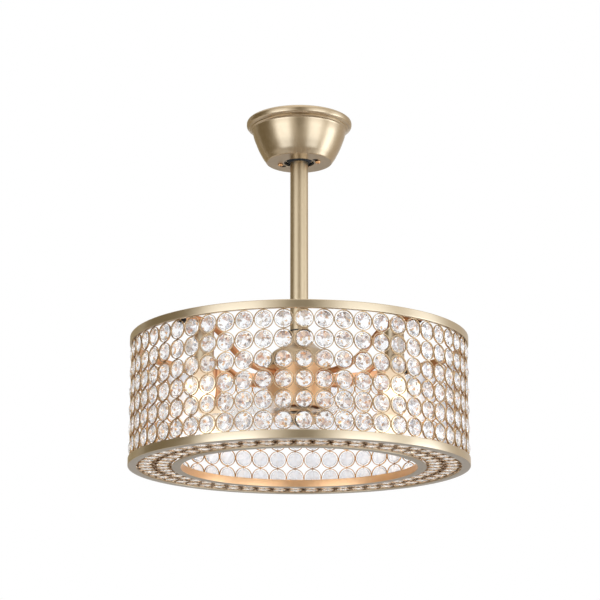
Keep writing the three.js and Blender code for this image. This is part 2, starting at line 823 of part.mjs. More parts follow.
addPiece(hangingGroup, 'housing_dome', domeGeometry(), gold);
addPiece(hangingGroup, 'housing_body', housingBodyGeometry(), gold);
addPiece(hangingGroup, 'motor_shaft', shaftGeometry(), steel);
addPiece(hangingGroup, 'stator_core', motorRing(
  motor.coreRadius, motor.shaftRadius + fitGap, coreMiddle, motor.coreHeight), steel);
addPiece(hangingGroup, 'upper_winding', windingGeometry(1), copper);
addPiece(hangingGroup, 'lower_winding', windingGeometry(-1), copper);
addPiece(hangingGroup, 'upper_bearing', bearingGeometry(bellTop - motor.bearingHeight / 2), steel);
addPiece(hangingGroup, 'lower_bearing', bearingGeometry(rotorBaseTop - motor.bearingHeight / 2), steel);

addPiece(hangingGroup, 'rotor_bell', bellGeometry(), steel);
addPiece(hangingGroup, 'rotor_magnet', magnetGeometry(), magnetGrey);
addPiece(hangingGroup, 'rotor_base', rotorBaseGeometry(), steel);
addPiece(hangingGroup, 'blade_plate', bladePlateGeometry(plateBottom), gold);
addPiece(hangingGroup, 'blade_clamp', bladePlateGeometry(clampBottom), gold);
addPiece(hangingGroup, 'hub_nut', hubNutGeometry(), black);
for (let i = 0; i < blade.count; i += 1) {
  const piece = addPiece(hangingGroup, `blade_${i + 1}`, bladeGeometry(), acrylic);
  piece.rotation.z = 2 * Math.PI * i / blade.count + Math.PI / 2;
}

for (let i = 0; i < arm.count; i += 1) {
  const armGroup = new THREE.Group();
  armGroup.rotation.z = arm.firstTurn + 2 * Math.PI * i / arm.count;
  hangingGroup.add(armGroup);
  addPiece(armGroup, `lamp_arm_${i + 1}`, armGeometry(), gold);
  addPiece(armGroup, `arm_nut_${i + 1}`, armNutGeometry(), black);
  const lampGroup = new THREE.Group();
  lampGroup.position.x = lampCircleRadius;
  armGroup.add(lampGroup);
  addPiece(lampGroup, `lamp_sleeve_${i + 1}`, sleeveGeometry(), gold);
  addPiece(lampGroup, `lamp_socket_${i + 1}`, socketGeometry(), black);
  addPiece(lampGroup, `bulb_${i + 1}`, bulbGeometry(), warmGlass);
}

addPiece(hangingGroup, 'top_band', topBandGeometry(), gold);
addPiece(hangingGroup, 'bottom_band', bottomBandGeometry(), gold);
addPiece(hangingGroup, 'inner_ring', innerRingGeometry(), gold);
for (let i = 0; i < 4; i += 1) {
  const panel = addPiece(hangingGroup, `crystal_panel_${i + 1}`, panelGeometry(), goldNet);
  panel.rotation.z = panelColumns * columnStep * i;
}
const innerRowOutside = baseMiddleRadius * facetShare;
addPiece(hangingGroup, 'base_crystals_outer', baseRowGeometry(
  drum.columns, baseOuterRadius, baseMiddleRadius), goldNet);
addPiece(hangingGroup, 'base_crystals_inner', baseRowGeometry(
  base.innerColumns, innerRowOutside, baseInnerRadius), goldNet);

export default fan;
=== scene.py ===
"""Looks of a crystal ceiling fan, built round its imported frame.

A drum of ringed beads hangs on a downrod from a spun canopy, with a small motor, clear
blades, four curved arms and four lit lamps inside. Metres, +Z up, the front is -Y.
"""

import math
import random

import bmesh
import bpy
from mathutils import Matrix, Vector


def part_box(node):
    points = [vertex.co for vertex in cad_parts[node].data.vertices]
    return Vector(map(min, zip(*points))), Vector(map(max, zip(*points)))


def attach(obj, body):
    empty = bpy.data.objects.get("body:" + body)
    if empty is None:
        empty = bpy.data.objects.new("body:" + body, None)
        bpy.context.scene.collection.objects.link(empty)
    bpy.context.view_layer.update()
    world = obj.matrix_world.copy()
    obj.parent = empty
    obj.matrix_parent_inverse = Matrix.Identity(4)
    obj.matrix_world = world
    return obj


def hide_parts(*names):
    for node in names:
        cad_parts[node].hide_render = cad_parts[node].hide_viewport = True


bl_info = {
    "name": "Crystal ceiling fan",
    "version": (1, 0, 0),
    "blender": (4, 5, 0),
    "location": "View3D > Sidebar > Crystal Fan",
    "description": "Builds the metalwork, beads, lamps and blades of a crystal ceiling fan",
    "category": "Object",
}

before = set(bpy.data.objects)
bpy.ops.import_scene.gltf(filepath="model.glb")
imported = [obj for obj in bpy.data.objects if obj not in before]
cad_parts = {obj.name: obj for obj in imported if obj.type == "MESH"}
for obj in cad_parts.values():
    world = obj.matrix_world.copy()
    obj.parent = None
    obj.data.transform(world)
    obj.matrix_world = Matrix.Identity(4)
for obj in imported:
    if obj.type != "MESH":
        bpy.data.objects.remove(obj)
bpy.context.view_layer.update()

CEILING = "ceiling_mount"
HANGING = "hanging_assembly"
ROTOR = "rotor"
MM = 0.001
SHARP_EDGE = 35.0
SMALL_SEGMENTS = 96
DRUM_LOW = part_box("bottom_band")[0].z
RIM_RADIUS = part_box("top_band")[1].x
BAND_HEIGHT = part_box("top_band")[1].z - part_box("top_band")[0].z
DRUM_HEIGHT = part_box("top_band")[1].z - DRUM_LOW


# Settings


class FanSizes(bpy.types.PropertyGroup):
    """Sizes of the trim that the frame leaves open."""

    wire_width: bpy.props.FloatProperty(
        name="Ring front width", description="Width of a wall ring's front edge",
        default=0.0009, min=0.0005, max=0.003, unit="LENGTH")
    wire_back_width: bpy.props.FloatProperty(
        name="Ring back width", description="Width of a wall ring's back edge",
        default=0.0013, min=0.0005, max=0.003, unit="LENGTH")
    wire_depth: bpy.props.FloatProperty(
        name="Ring wire depth", description="Depth of a bead ring, along its axis",
        default=0.0028, min=0.001, max=0.005, unit="LENGTH")
    bead_share: bpy.props.FloatProperty(
        name="Bead share", description="Width of a bead as a share of its ring",
        default=0.8, min=0.5, max=0.92)
    bead_front: bpy.props.FloatProperty(
        name="Bead front", description="Height of a bead's cut front over its girdle",
        default=0.0033, min=0.001, max=0.0034, unit="LENGTH")
    bead_back: bpy.props.FloatProperty(
        name="Bead back", description="Depth of a bead's cut back behind its girdle",
        default=0.0056, min=0.001, max=0.008, unit="LENGTH")
    bead_tilt: bpy.props.FloatProperty(
        name="Bead tilt", description="How far a bead may lean in its ring",
        default=math.radians(3.5), min=0.0, max=0.3, subtype="ANGLE")
    base_wire_width: bpy.props.FloatProperty(
        name="Underside wire width", description="Thickness of a ring in the underside",
        default=0.0012, min=0.0005, max=0.003, unit="LENGTH")
    base_wire_depth: bpy.props.FloatProperty(
        name="Underside wire depth", description="Depth of a ring in the underside",
        default=0.0044, min=0.001, max=0.006, unit="LENGTH")
    base_bead_share: bpy.props.FloatProperty(
        name="Underside bead share", description="Width of an underside bead over its ring's",
        default=0.84, min=0.5, max=0.92)
    base_bead_front: bpy.props.FloatProperty(
        name="Underside bead front", description="Height of an underside bead's cut front",
        default=0.0027, min=0.001, max=0.0034, unit="LENGTH")
    base_bead_back: bpy.props.FloatProperty(
        name="Underside bead back", description="Depth of an underside bead's cut back",
        default=0.0044, min=0.001, max=0.008, unit="LENGTH")
    solder_size: bpy.props.FloatProperty(
        name="Solder size", description="Radius of a solder point between two rings",
        default=0.00115, min=0.0005, max=0.003, unit="LENGTH")
    round_segments: bpy.props.IntProperty(
        name="Round segments", description="Sides of the large turned pieces",
        default=192, min=48, max=384)


class FanColours(bpy.types.PropertyGroup):
    """Colours of the finishes."""

    gold: bpy.props.FloatVectorProperty(
        name="Champagne gold", description="Satin gold of the bands and the lamp sleeves",
        default=(0.56, 0.45, 0.3), size=3, min=0.0, max=1.0, subtype="COLOR")
    # Painted lamplight: the arms' copper-orange tone is the lamps' warm light, painted into their
    # gold.
    arm_gold: bpy.props.FloatVectorProperty(
        name="Arm gold", description="Copper-tinted gold of the arms between the lamps",
        default=(0.46, 0.2, 0.085), size=3, min=0.0, max=1.0, subtype="COLOR")
    ring_gold: bpy.props.FloatVectorProperty(
        name="Ring gold", description="Bright gold of the bead rings",
        default=(0.5, 0.36, 0.21), size=3, min=0.0, max=1.0, subtype="COLOR")
    crystal: bpy.props.FloatVectorProperty(
        name="Crystal", description="Tint of the cut beads",
        default=(0.955, 0.955, 0.95), size=3, min=0.0, max=1.0, subtype="COLOR")
    bead_haze: bpy.props.FloatProperty(
        name="Bead haze", description="Share of light that a bead's polish scatters",
        default=0.12, min=0.0, max=0.6, subtype="FACTOR")
    back_haze: bpy.props.FloatProperty(
        name="Back haze", description="Share of light that a bead's foiled back scatters",
        default=0.38, min=0.0, max=0.9, subtype="FACTOR")
    acrylic: bpy.props.FloatVectorProperty(
        name="Acrylic", description="Tint of the clear blades",
        default=(0.95, 0.965, 0.97), size=3, min=0.0, max=1.0, subtype="COLOR")
    glow: bpy.props.FloatVectorProperty(
        name="Lamp glow", description="Colour of the lit bulbs",
        default=(1.0, 0.82, 0.62), size=3, min=0.0, max=1.0, subtype="COLOR")
    glow_strength: bpy.props.FloatProperty(
        name="Glow strength", description="Brightness of the lit bulbs' cores",
        default=6.0, min=0.0, max=60.0)


class FanStage(bpy.types.PropertyGroup):
    """Floor, light and cards."""

    floor_drop: bpy.props.FloatProperty(
        name="Floor drop", description="Height of the floor under the ceiling",
        default=-2.4, min=-4.0, max=-0.8, unit="LENGTH")
    room_level: bpy.props.FloatProperty(
        name="Room light", description="Strength of the even light from all round",
        default=0.72, min=0.0, max=2.0)
    softbox_level: bpy.props.FloatProperty(
        name="Softbox light", description="Brightness of the tall softboxes",
        default=2.5, min=0.0, max=8.0)
    card_level: bpy.props.FloatProperty(
        name="Card tone", description="Brightness of the dark cards that metal mirrors",
        default=0.2, min=0.0, max=1.0)
    lamp_watts: bpy.props.FloatProperty(
        name="Lamp light", description="Power of the warm light from each bulb, in watts",
        default=0.3, min=0.0, max=20.0)


class FanSettings(bpy.types.PropertyGroup):
    """All settings of the fan."""

    sizes: bpy.props.PointerProperty(
        type=FanSizes, name="Sizes", description="Sizes of the trim")
    colours: bpy.props.PointerProperty(
        type=FanColours, name="Colours", description="Colours of the finishes")
    stage: bpy.props.PointerProperty(
        type=FanStage, name="Stage", description="Floor, light and cards")


# Shader building


class Signal:
    """A node's output. Each operator on it adds one Math node."""

    def __init__(self, recipe, output):
        self.recipe = recipe
        self.output = output

    def math(self, operation, first, second):
        return self.recipe.node("ShaderNodeMath", {"operation": operation}, {0: first, 1: second})

    def __add__(self, other):
        return self.math("ADD", self, other)

    __radd__ = __add__

    def __sub__(self, other):
        return self.math("SUBTRACT", self, other)

    def __rsub__(self, other):
        return self.math("SUBTRACT", other, self)

    def __mul__(self, other):
        return self.math("MULTIPLY", self, other)

    __rmul__ = __mul__

    def __truediv__(self, other):
        return self.math("DIVIDE", self, other)

    def __rtruediv__(self, other):
        return self.math("DIVIDE", other, self)

    def __pow__(self, other):
        return self.math("POWER", self, other)

    def __rpow__(self, other):
        return self.math("POWER", other, self)

    def at_least(self, other):
        return self.math("MAXIMUM", self, other)


class Recipe:
    """A material in the making."""

    def __init__(self, name, tree_owner=None):
        self.owner = tree_owner or bpy.data.materials.new(name)
        self.owner.use_nodes = True
        self.tree = self.owner.node_tree
        self.tree.nodes.clear()

    def node(self, kind, choices, inputs, outputs=0):
        """Adds a node. The choices are set first, then the values or links of its sockets."""
        node = self.tree.nodes.new(kind)
        for key, value in choices.items():
            setattr(node, key, value)
        for key, value in inputs.items():
            socket = node.inputs[key]
            if isinstance(value, Signal):
                self.tree.links.new(value.output, socket)
            elif socket.type == "RGBA" and len(value) == 3:
                socket.default_value = (*value, 1.0)
            else:
                socket.default_value = value
        if isinstance(outputs, tuple):
            return [Signal(self, node.outputs[key]) for key in outputs]
        return Signal(self, node.outputs[outputs])

    def point(self):
        """Where the surface is, in the frame at rest."""
        return self.node("ShaderNodeTexCoord", {}, {}, "Object")

    def normal(self):
        """Which way the surface looks, in the frame at rest."""
        return self.node("ShaderNodeTexCoord", {}, {}, "Normal")

    def parts(self, vector):
        """X, Y and Z of a vector."""
        return self.node("ShaderNodeSeparateXYZ", {}, {0: vector}, (0, 1, 2))

    def vector(self, x, y, z):
        return self.node("ShaderNodeCombineXYZ", {}, {0: x, 1: y, 2: z})

    def outward(self):
        """How far the surface looks away from the fan's axis, from -1 to 1."""
        x, y, _ = self.parts(self.point())
        along_x, along_y, _ = self.parts(self.normal())
        return (along_x * x + along_y * y) / (x * x + y * y) ** 0.5

    def noise(self, vector, scale=1.0, detail=2.0, roughness=0.5):
        return self.node("ShaderNodeTexNoise", {}, {
            "Vector": vector, "Scale": scale, "Detail": detail, "Roughness": roughness})

    def spread(self, value, low, high):
        """Maps a range onto 0 to 1 and holds what lies past its ends."""
        return self.node("ShaderNodeMapRange", {"clamp": True}, {0: value, 1: low, 2: high})

    def mix(self, factor, first, second):
        choices = {"data_type": "RGBA"}
        return self.node("ShaderNodeMix", choices, {0: factor, 6: first, 7: second}, 2)

    def bump(self, height, strength, distance):
        return self.node("ShaderNodeBump", {}, {
            "Height": height, "Strength": strength, "Distance": distance})

    def surface(self, inputs):
        return self.node("ShaderNodeBsdfPrincipled", {}, inputs)

    def see_through(self, colour):
        return self.node("ShaderNodeBsdfTransparent", {}, {0: colour})

    def blend(self, factor, first, second):
        """Mixes two shaders."""
        return self.node("ShaderNodeMixShader", {}, {0: factor, 1: first, 2: second})

    def finish(self, shader):
        self.node("ShaderNodeOutputMaterial", {}, {"Surface": shader}, ())
        return self.owner


def shade_of(colour, factor):
    return tuple(min(1.0, part * factor) for part in colour)


def edge_wear(recipe):
    """Where an outward edge is rubbed bright, from 0 to 1."""
    pointed = recipe.node("ShaderNodeNewGeometry", {}, {}, "Pointiness")
    return recipe.spread(pointed, 0.515, 0.58)


def grain_of(recipe, kind):
    """Fine tool lines: round the axis, along it, or an even tooth.

    The factors are the noise's cells to a metre in each direction."""
    x, y, z = recipe.parts(recipe.point())
    if kind == "spun":
        radius = (x * x + y * y) ** 0.5
        return recipe.noise(recipe.vector(radius * 1500.0, z * 1500.0, x * 9.0), detail=3.0)
    if kind == "drawn":
        return recipe.noise(recipe.vector(x * 1700.0, y * 1700.0, z * 16.0), detail=3.0)
    return recipe.noise(recipe.vector(x * 1200.0, y * 1200.0, z * 1200.0))


def metal_finish(
        name, tone, kind="tooth", roughness=0.3, wear=0.35, cloud=0.12, tooth=0.3, coat=0.0,
        under=None, painted_lamplight=None, lamplight_from=-0.1, lamplight_to=-0.7):
    """Plated or painted metal with tool lines, hand marks and rubbed edges.

    under darkens faces that look down, as painted shade; the lamplight tone warms faces that
    look at the axis, as the lamps' light painted in."""
    recipe = Recipe(name)
    point = recipe.point()
    x, y, z = recipe.parts(point)
    grain = grain_of(recipe, kind)
    clouds = recipe.noise(point, 17.0, 4.0, 0.6)
    smudges = recipe.noise(recipe.vector(x + 3.0, y, z), 64.0, 3.0, 0.7)
    plain = tone
    # Painted shade: faces that look down blend to the darker under tone.
    if under:
        down = -1.0 * recipe.parts(recipe.normal())[2]
        plain = recipe.mix(recipe.spread(down, 0.8, 0.96), plain, under)
    # Painted lamplight: faces that look at the axis blend to a warm tone for the lamps' glow.
    if painted_lamplight:
        lamplit_share = recipe.spread(recipe.outward(), lamplight_from, lamplight_to)
        plain = recipe.mix(lamplit_share, plain, painted_lamplight)
    dull = recipe.mix(recipe.spread(clouds, 0.35, 0.68) * cloud, plain, shade_of(tone, 0.4))
    lined = recipe.mix(recipe.spread(grain, 0.3, 0.7) * cloud, dull, shade_of(tone, 1.5))
    worn = recipe.mix(edge_wear(recipe) * wear, lined, shade_of(tone, 1.35))
    rough = roughness + (grain - 0.5) * 0.35 * tooth + recipe.spread(smudges, 0.5, 0.75) * 0.06
    return recipe.finish(recipe.surface({
        "Base Color": worn, "Metallic": 1.0, "Roughness": rough.at_least(0.05),
        "Coat Weight": coat, "Coat Roughness": 0.22,
        "Normal": recipe.bump(grain, tooth, 0.00003)}))


def dull_finish(name, tone, roughness=0.55, scale=900.0, tooth=0.35):
    """Moulded plastic or rubber with a fine tooth, dust and pale rubbed edges."""
    recipe = Recipe(name)
    point = recipe.point()
    tooth_height = recipe.noise(point, scale)
    dust = recipe.spread(recipe.noise(point, 42.0, 4.0, 0.65), 0.5, 0.8)
    dusty = recipe.mix(dust * 0.3, tone, shade_of(tone, 2.0))
    worn = recipe.mix(edge_wear(recipe) * 0.3, dusty, shade_of(tone, 2.6))
    return recipe.finish(recipe.surface({
        "Base Color": worn, "Roughness": roughness + dust * 0.15 + (tooth_height - 0.5) * 0.1,
        "Normal": recipe.bump(tooth_height, tooth, 0.00006)}))


def clear_finish(
        name, tone, index, scratch_scale, shadow_share, plain_share, haze=0.0, back_haze=0.0,
        back_milk=(0.78, 0.84, 0.94)):
    """Cut glass or acrylic: clear, with a slight change of tint and fine surface marks.

    A shadow passes shadow_share of the light, and plain_share of it goes straight through.
    haze scatters light all over it, back_haze where it looks at the axis, in back_milk's tone,
    and hazy glass has painted amber and dark glints, which stand for light from the facets behind."""
    front_milk, amber_glint, dark = (0.99, 0.95, 0.9), (0.5, 0.17, 0.02), (0.12, 0.045, 0.012)
    recipe = Recipe(name)
    point = recipe.point()
    piece = recipe.node("ShaderNodeNewGeometry", {}, {}, "Random Per Island")
    tint = recipe.mix(piece, shade_of(tone, 0.975), shade_of(tone, 1.03))
    if haze:
        back = recipe.spread(recipe.outward(), 0.1, -0.4)
        shown = 1.0 - back * 0.7
        cells = {"Vector": point, "Scale": 290.0}
        pick = recipe.parts(recipe.node("ShaderNodeTexVoronoi", {}, cells, "Color"))[0]
        # Painted glints: random amber and dark spots stand for lamplight and dark surroundings
        # caught in the facets, fewer on faces that look at the axis.
        for glint_tone, low, high in ((amber_glint, 0.88, 0.89), (dark, 0.95, 0.955)):
            tint = recipe.mix(recipe.spread(pick, low, high) * shown, tint, glint_tone)
    marks = recipe.spread(recipe.noise(point, scratch_scale, 5.0, 0.7), 0.62, 0.8)
    ripple = recipe.noise(point, scratch_scale * 0.4, 1.0)
    glass = recipe.surface({
        "Base Color": tint, "Roughness": marks * 0.05, "IOR": index, "Transmission Weight": 1.0,
        "Normal": recipe.bump(ripple + marks * 0.4, 0.04, 0.0002)})
    if haze:
        milk = recipe.surface({
            "Base Color": recipe.mix(back, front_milk, back_milk),
            "Roughness": 0.35 + marks * 0.2})
        glass = recipe.blend(haze + back * (back_haze - haze), glass, milk)
    in_shadow = recipe.node("ShaderNodeLightPath", {}, {}, "Is Shadow Ray")
    passed = (in_shadow * shadow_share).at_least(plain_share)
    return recipe.finish(recipe.blend(passed, glass, recipe.see_through(shade_of(tone, 1.05))))


def bulb_finish(name, glow, core_height):
    """Hazy lit bulb glass: cream round the core, amber above and below."""
    recipe = Recipe(name)
    point = recipe.point()
    haze = recipe.noise(point, 120.0, 3.0)
    rise, square_mm = recipe.parts(point)[2] - core_height, 1.0e6
    near = recipe.spread(rise * rise * square_mm + haze * 60.0, 330.0, 60.0)
    lit = recipe.surface({
        "Base Color": recipe.mix(haze, (0.03, 0.026, 0.02), (0.06, 0.052, 0.04)),
        "Roughness": 0.12 + haze * 0.1,
        "Emission Color": recipe.mix(near, shade_of(glow, 0.4), shade_of(glow, 1.1)),
        "Emission Strength": 2.0})
    clear = recipe.see_through((1.0, 0.93, 0.8))
    return recipe.finish(recipe.blend(0.3 + haze * 0.12, lit, clear))


def core_finish(name, strength):
    """The lamp's white-hot core."""
    recipe = Recipe(name)
    flicker = recipe.noise(recipe.point(), 300.0)
    return recipe.finish(recipe.surface({
        "Base Color": recipe.mix(flicker, (0.9, 0.8, 0.6), (1.0, 0.95, 0.8)),
        "Roughness": 0.4 + flicker * 0.1,
        "Emission Color": recipe.mix(flicker, (1.0, 0.78, 0.45), (1.0, 0.92, 0.7)),
        "Emission Strength": strength}))


def finishes():
    """The maker and the values of each finish."""
    colours = bpy.context.scene.crystal_fan.colours
    gold = tuple(colours.gold)
    # lamplit is the lamps' warm light, painted into faces that look inward; under is shade, painted
    # into faces that look down.
    steel, lamplit, under = (0.46, 0.46, 0.45), (0.66, 0.31, 0.14), (0.37, 0.325, 0.275)
    spun = {"kind": "spun", "roughness": 0.29, "wear": 0.3, "cloud": 0.07, "tooth": 0.1}
    drawn = {**spun, "kind": "drawn"}
    wire = {"wear": 0.2, "cloud": 0.15, "tooth": 0.1}
    bead = {"index": 1.44, "scratch_scale": 260.0, "shadow_share": 0.85, "plain_share": 0.08}
    metals = {
        # The canopy's downward faces take a darker tone: painted shade.
        "canopy_gold": dict(
            spun, tone=(0.47, 0.36, 0.225), coat=0.2, under=(0.41, 0.315, 0.205)),
        "drawn_gold": dict(drawn, tone=(0.49, 0.38, 0.235), roughness=0.4, coat=0.1),
        "rim_gold": dict(spun, tone=gold, coat=0.25, painted_lamplight=lamplit),
        # The bottom band's downward faces take the under tone: painted shade.
        "low_rim_gold": dict(spun, tone=gold, coat=0.25, under=under),
        "sleeve_gold": dict(drawn, tone=shade_of(gold, 0.82), roughness=0.31, painted_lamplight=lamplit),
        # The inner lip: a painted peach lamplight on faces that look at the axis, painted shade on
        # faces that look down.
        "lip_gold": dict(spun, tone=gold, roughness=0.32, under=under, painted_lamplight=(0.82, 0.5, 0.26)),
        "housing_gold": dict(spun, tone=(0.68, 0.42, 0.22), roughness=0.3),
        "dome_gold": dict(spun, tone=(0.42, 0.31, 0.2), roughness=0.31),
        # The arms' tone carries the lamps' light, painted in.
        "arm_gold": dict(tone=tuple(colours.arm_gold)),
        # The rings' faces that look at the axis take the lamps' orange light, painted in.
        "ring_gold": dict(
            wire, tone=tuple(colours.ring_gold), roughness=0.2, painted_lamplight=(0.56, 0.26, 0.07),
            lamplight_from=0.3, lamplight_to=-0.6),
        # The underside's rings: a darker copy of the ring gold, with the shade between the close
        # rows painted in.
        "low_ring_gold": dict(wire, tone=(0.36, 0.24, 0.14), roughness=0.22),
        "steel": dict(tone=steel, roughness=0.38, wear=0.5, cloud=0.2, tooth=0.5),
        "dark_steel": dict(
            tone=(0.045, 0.044, 0.042), roughness=0.55, wear=0.4, cloud=0.3, tooth=0.5),
        "turned_steel": dict(tone=steel, kind="spun", wear=0.5, tooth=0.5),
        "brass_screw": dict(tone=(0.72, 0.40, 0.18), roughness=0.26),
        "black_steel": dict(
            tone=(0.018, 0.016, 0.015), roughness=0.5, wear=0.6, cloud=0.3, tooth=0.6),
        "copper_wire": dict(
            tone=(0.62, 0.29, 0.13), kind="spun", roughness=0.34, wear=0.2, cloud=0.25, tooth=0.9),
        "magnet": dict(tone=(0.09, 0.09, 0.095), roughness=0.55, wear=0.3, cloud=0.3, tooth=0.8),
    }
    dulls = {
        "black_plastic": dict(tone=(0.009, 0.009, 0.009), roughness=0.75),
        "black_rubber": dict(tone=(0.012, 0.012, 0.012), roughness=0.7, scale=1500.0, tooth=0.5),
    }
    clears = {
        "crystal": dict(
            bead, tone=tuple(colours.crystal), haze=colours.bead_haze, back_haze=colours.back_haze),
        "warm_crystal": dict(
            bead, tone=(0.98, 0.94, 0.88), haze=0.2, back_haze=0.26, back_milk=(1.0, 0.95, 0.87)),
        "acrylic": dict(
            tone=tuple(colours.acrylic), index=1.49, scratch_scale=90.0, shadow_share=0.9,
            plain_share=0.6),
    }
    makers = ((metal_finish, metals), (dull_finish, dulls), (clear_finish, clears))
    return {name: (maker, group[name]) for maker, group in makers for name in group}


def finish_named(name):
    """A finish, made when it is first asked for."""
    own_name = f"{name}_finish"
    made = bpy.data.materials.get(own_name)
    if not made:
        maker, values = finishes()[name]
        made = maker(own_name, **values)
    return made


# Shape helpers


def closed_mesh(name, part):
    """A mesh whose faces all look outward."""
    points, faces = part
    mesh = bpy.data.meshes.new(name)
    mesh.from_pydata(points, [], faces)
    mesh.validate()
    shape = bmesh.new()
    shape.from_mesh(mesh)
    bmesh.ops.recalc_face_normals(shape, faces=shape.faces)
    shape.to_mesh(mesh)
    shape.free()
    return mesh


def add_object(name, data):
    made = bpy.data.objects.new(name, data)
    bpy.context.scene.collection.objects.link(made)
    return made


def smoothed(mesh, sharp):
    """Smooth shading with edges over an angle in degrees kept sharp."""
    mesh.shade_smooth()
    mesh.set_sharp_from_angle(angle=math.radians(sharp))


def add_piece(name, part, finish, body, nodes=(), sharp=SHARP_EDGE):
    """Makes a piece of the fan from points and faces, in metres, and hands it to its body.

    sharp is the angle in degrees over which an edge stays sharp, or 0 for flat facets."""
    mesh = closed_mesh(name, part)
    mesh.materials.append(finish_named(finish) if isinstance(finish, str) else finish)
    if sharp:
        smoothed(mesh, sharp)
    piece = add_object(name, mesh)
    if len(mesh.polygons) == 0:
        raise RuntimeError(f"{name} has no faces")
    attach(piece, body)
    if nodes:
        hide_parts(*nodes)
    return piece


def dress(finish, *nodes):
    """Gives kept frame nodes a finish."""
    for name in nodes:
        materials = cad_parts[name].data.materials
        materials.clear()
        materials.append(finish_named(finish))


def bridge(first, second):
    """Faces between two loops of point numbers, either of which may be a single point."""
    count = max(len(first), len(second))
    faces = []
    for i in range(count if count > 1 else 0):
        j = (i + 1) % count
        if len(first) == 1:
            faces.append((first[0], second[j], second[i]))
        elif len(second) == 1:
            faces.append((first[i], first[j], second[0]))
        else:
            faces.append((first[i], first[j], second[j], second[i]))
    return faces


def bridged(loops, closed):
    """Faces from each loop to the next, and from the last to the first if closed."""
    following = loops[1:] + (loops[:1] if closed else [])
    return [face for first, second in zip(loops, following) for face in bridge(first, second)]


def turned(outline, segments, closed=True):
    """Points and faces of an outline of (radius, height) pairs turned about Z."""
    on_axis = 1e-7
    points, rings = [], []
    for radius, height in outline:
        start = len(points)
        if radius < on_axis:
            points.append((0.0, 0.0, height))
        else:
            points += [(*corner, height) for corner in round_corners(radius, segments)]
        rings.append(range(start, len(points)))
    return points, bridged(rings, closed)


def skinned(sections):
    """Closes a row of like point loops into one body."""
    count = len(sections[0])
    points = [point for section in sections for point in section]
    loops = [range(i * count, (i + 1) * count) for i in range(len(sections))]
    ends = [tuple(reversed(loops[0])), tuple(loops[-1])]
    return points, bridged(loops, False) + ends


def swept(line, profile, side):
    """A section of (across, up) pairs set along a line in a plane, side being across it."""
    sections = []
    for i, here in enumerate(line):
        ahead = (line[min(i + 1, len(line) - 1)] - line[max(i - 1, 0)]).normalized()
        up = ahead.cross(side).normalized()
        sections.append([tuple(here + side * a + up * b) for a, b in profile])
    return skinned(sections)


def prism(corners, low, high):
    """A closed upright prism on a list of (x, y) corners, its two ends first."""
    points, faces = skinned([[(x, y, height) for x, y in corners] for height in (low, high)])
    return points, faces[-2:] + faces[:-2]


def arc(centre, radius, start, end, steps):
    """Points along an arc, both ends among them."""
    angles = [start + (end - start) * i / steps for i in range(steps + 1)]
    return [
        (centre[0] + radius * math.cos(angle), centre[1] + radius * math.sin(angle))
        for angle in angles]


def round_corners(radius, sides, centre=(0.0, 0.0), start=0.0):
    return arc(centre, radius, start, start + math.tau, sides)[:-1]


def slot_corners(start, end, half):
    """Corners of a round-ended slot between two points."""
    turn = math.atan2(end[1] - start[1], end[0] - start[0])
    quarter = math.pi / 2
    return [
        *arc(end, half, turn - quarter, turn + quarter, 8),
        *arc(start, half, turn + quarter, turn + 3 * quarter, 8)]


def box_outline(inner, outer, low, high):
    """Corners of a rectangle between two radii and two heights, or any other such pairs."""
    return [(inner, low), (outer, low), (outer, high), (inner, high)]


def softened(outline, radius, steps=4, closed=True):
    """Rounds the corners of an outline of pairs."""
    count = len(outline)
    result = []
    for i, corner in enumerate(outline):
        if not closed and i in (0, count - 1):
            result.append(tuple(corner))
            continue
        here = Vector(corner)
        before, after = Vector(outline[i - 1]) - here, Vector(outline[(i + 1) % count]) - here
        turn = before.angle(after)
        reach = min(radius / math.tan(turn / 2), 0.45 * before.length, 0.45 * after.length)
        start, end = here + before.normalized() * reach, here + after.normalized() * reach
        for step in range(steps + 1):
            t = step / steps
            bend = start * (1 - t) ** 2 + here * 2 * t * (1 - t) + end * t * t
            result.append(tuple(bend))
    return result


def smooth_line(points, steps):
    """A smooth curve through points, with more points where they lie far apart."""
    knots = [Vector(p) for p in points]
    ends = [knots[0] * 2 - knots[1], *knots, knots[-1] * 2 - knots[-2]]
    line = [knots[0]]
    for a, b, c, d in zip(ends, ends[1:], ends[2:], ends[3:]):
        t1 = math.sqrt((b - a).length)
        t2 = t1 + math.sqrt((c - b).length)
        t3 = t2 + math.sqrt((d - c).length)
        for step in range(1, steps + 1):
            t = t1 + (t2 - t1) * step / steps
            ab = a * ((t1 - t) / t1) + b * (t / t1)
            bc = b * ((t2 - t) / (t2 - t1)) + c * ((t - t1) / (t2 - t1))
            cd = c * ((t3 - t) / (t3 - t2)) + d * ((t - t2) / (t3 - t2))
            abc = ab * ((t2 - t) / t2) + bc * (t / t2)
            bcd = bc * ((t3 - t) / (t3 - t1)) + cd * ((t - t1) / (t3 - t1))
            line.append(abc * ((t2 - t) / (t2 - t1)) + bcd * ((t - t1) / (t2 - t1)))
    return line


def smooth_outline(pairs, steps):
    """A smooth curve through pairs."""
    return [(p.x, p.y) for p in smooth_line([(a, b, 0.0) for a, b in pairs], steps)]


def toothed(low, high, pitch, tooth):
    """Repeats a tooth of (radius, rise) pairs from one height up to another."""
    outline = []
    height = low
    while height < high:
        outline += [(radius, height + rise) for radius, rise in tooth]
        height += pitch
    return outline


def over_drum(outline):
    """Turns millimetres over the drum's lower edge into metres in the frame."""
    return [(radius * MM, DRUM_LOW + height * MM) for radius, height in outline]


def add_turned(name, outline, segments, finish, body, node):
    """Turns a piece from an outline in millimetres over the drum's lower edge."""
    add_piece(name, turned(over_drum(outline), segments), finish, body, [node])


def hexagon_share(angle):
    """A hexagon's radius at an angle, as a share of its corners'."""
    return math.cos(math.pi / 6) / math.cos(angle % (math.pi / 3) - math.pi / 6)


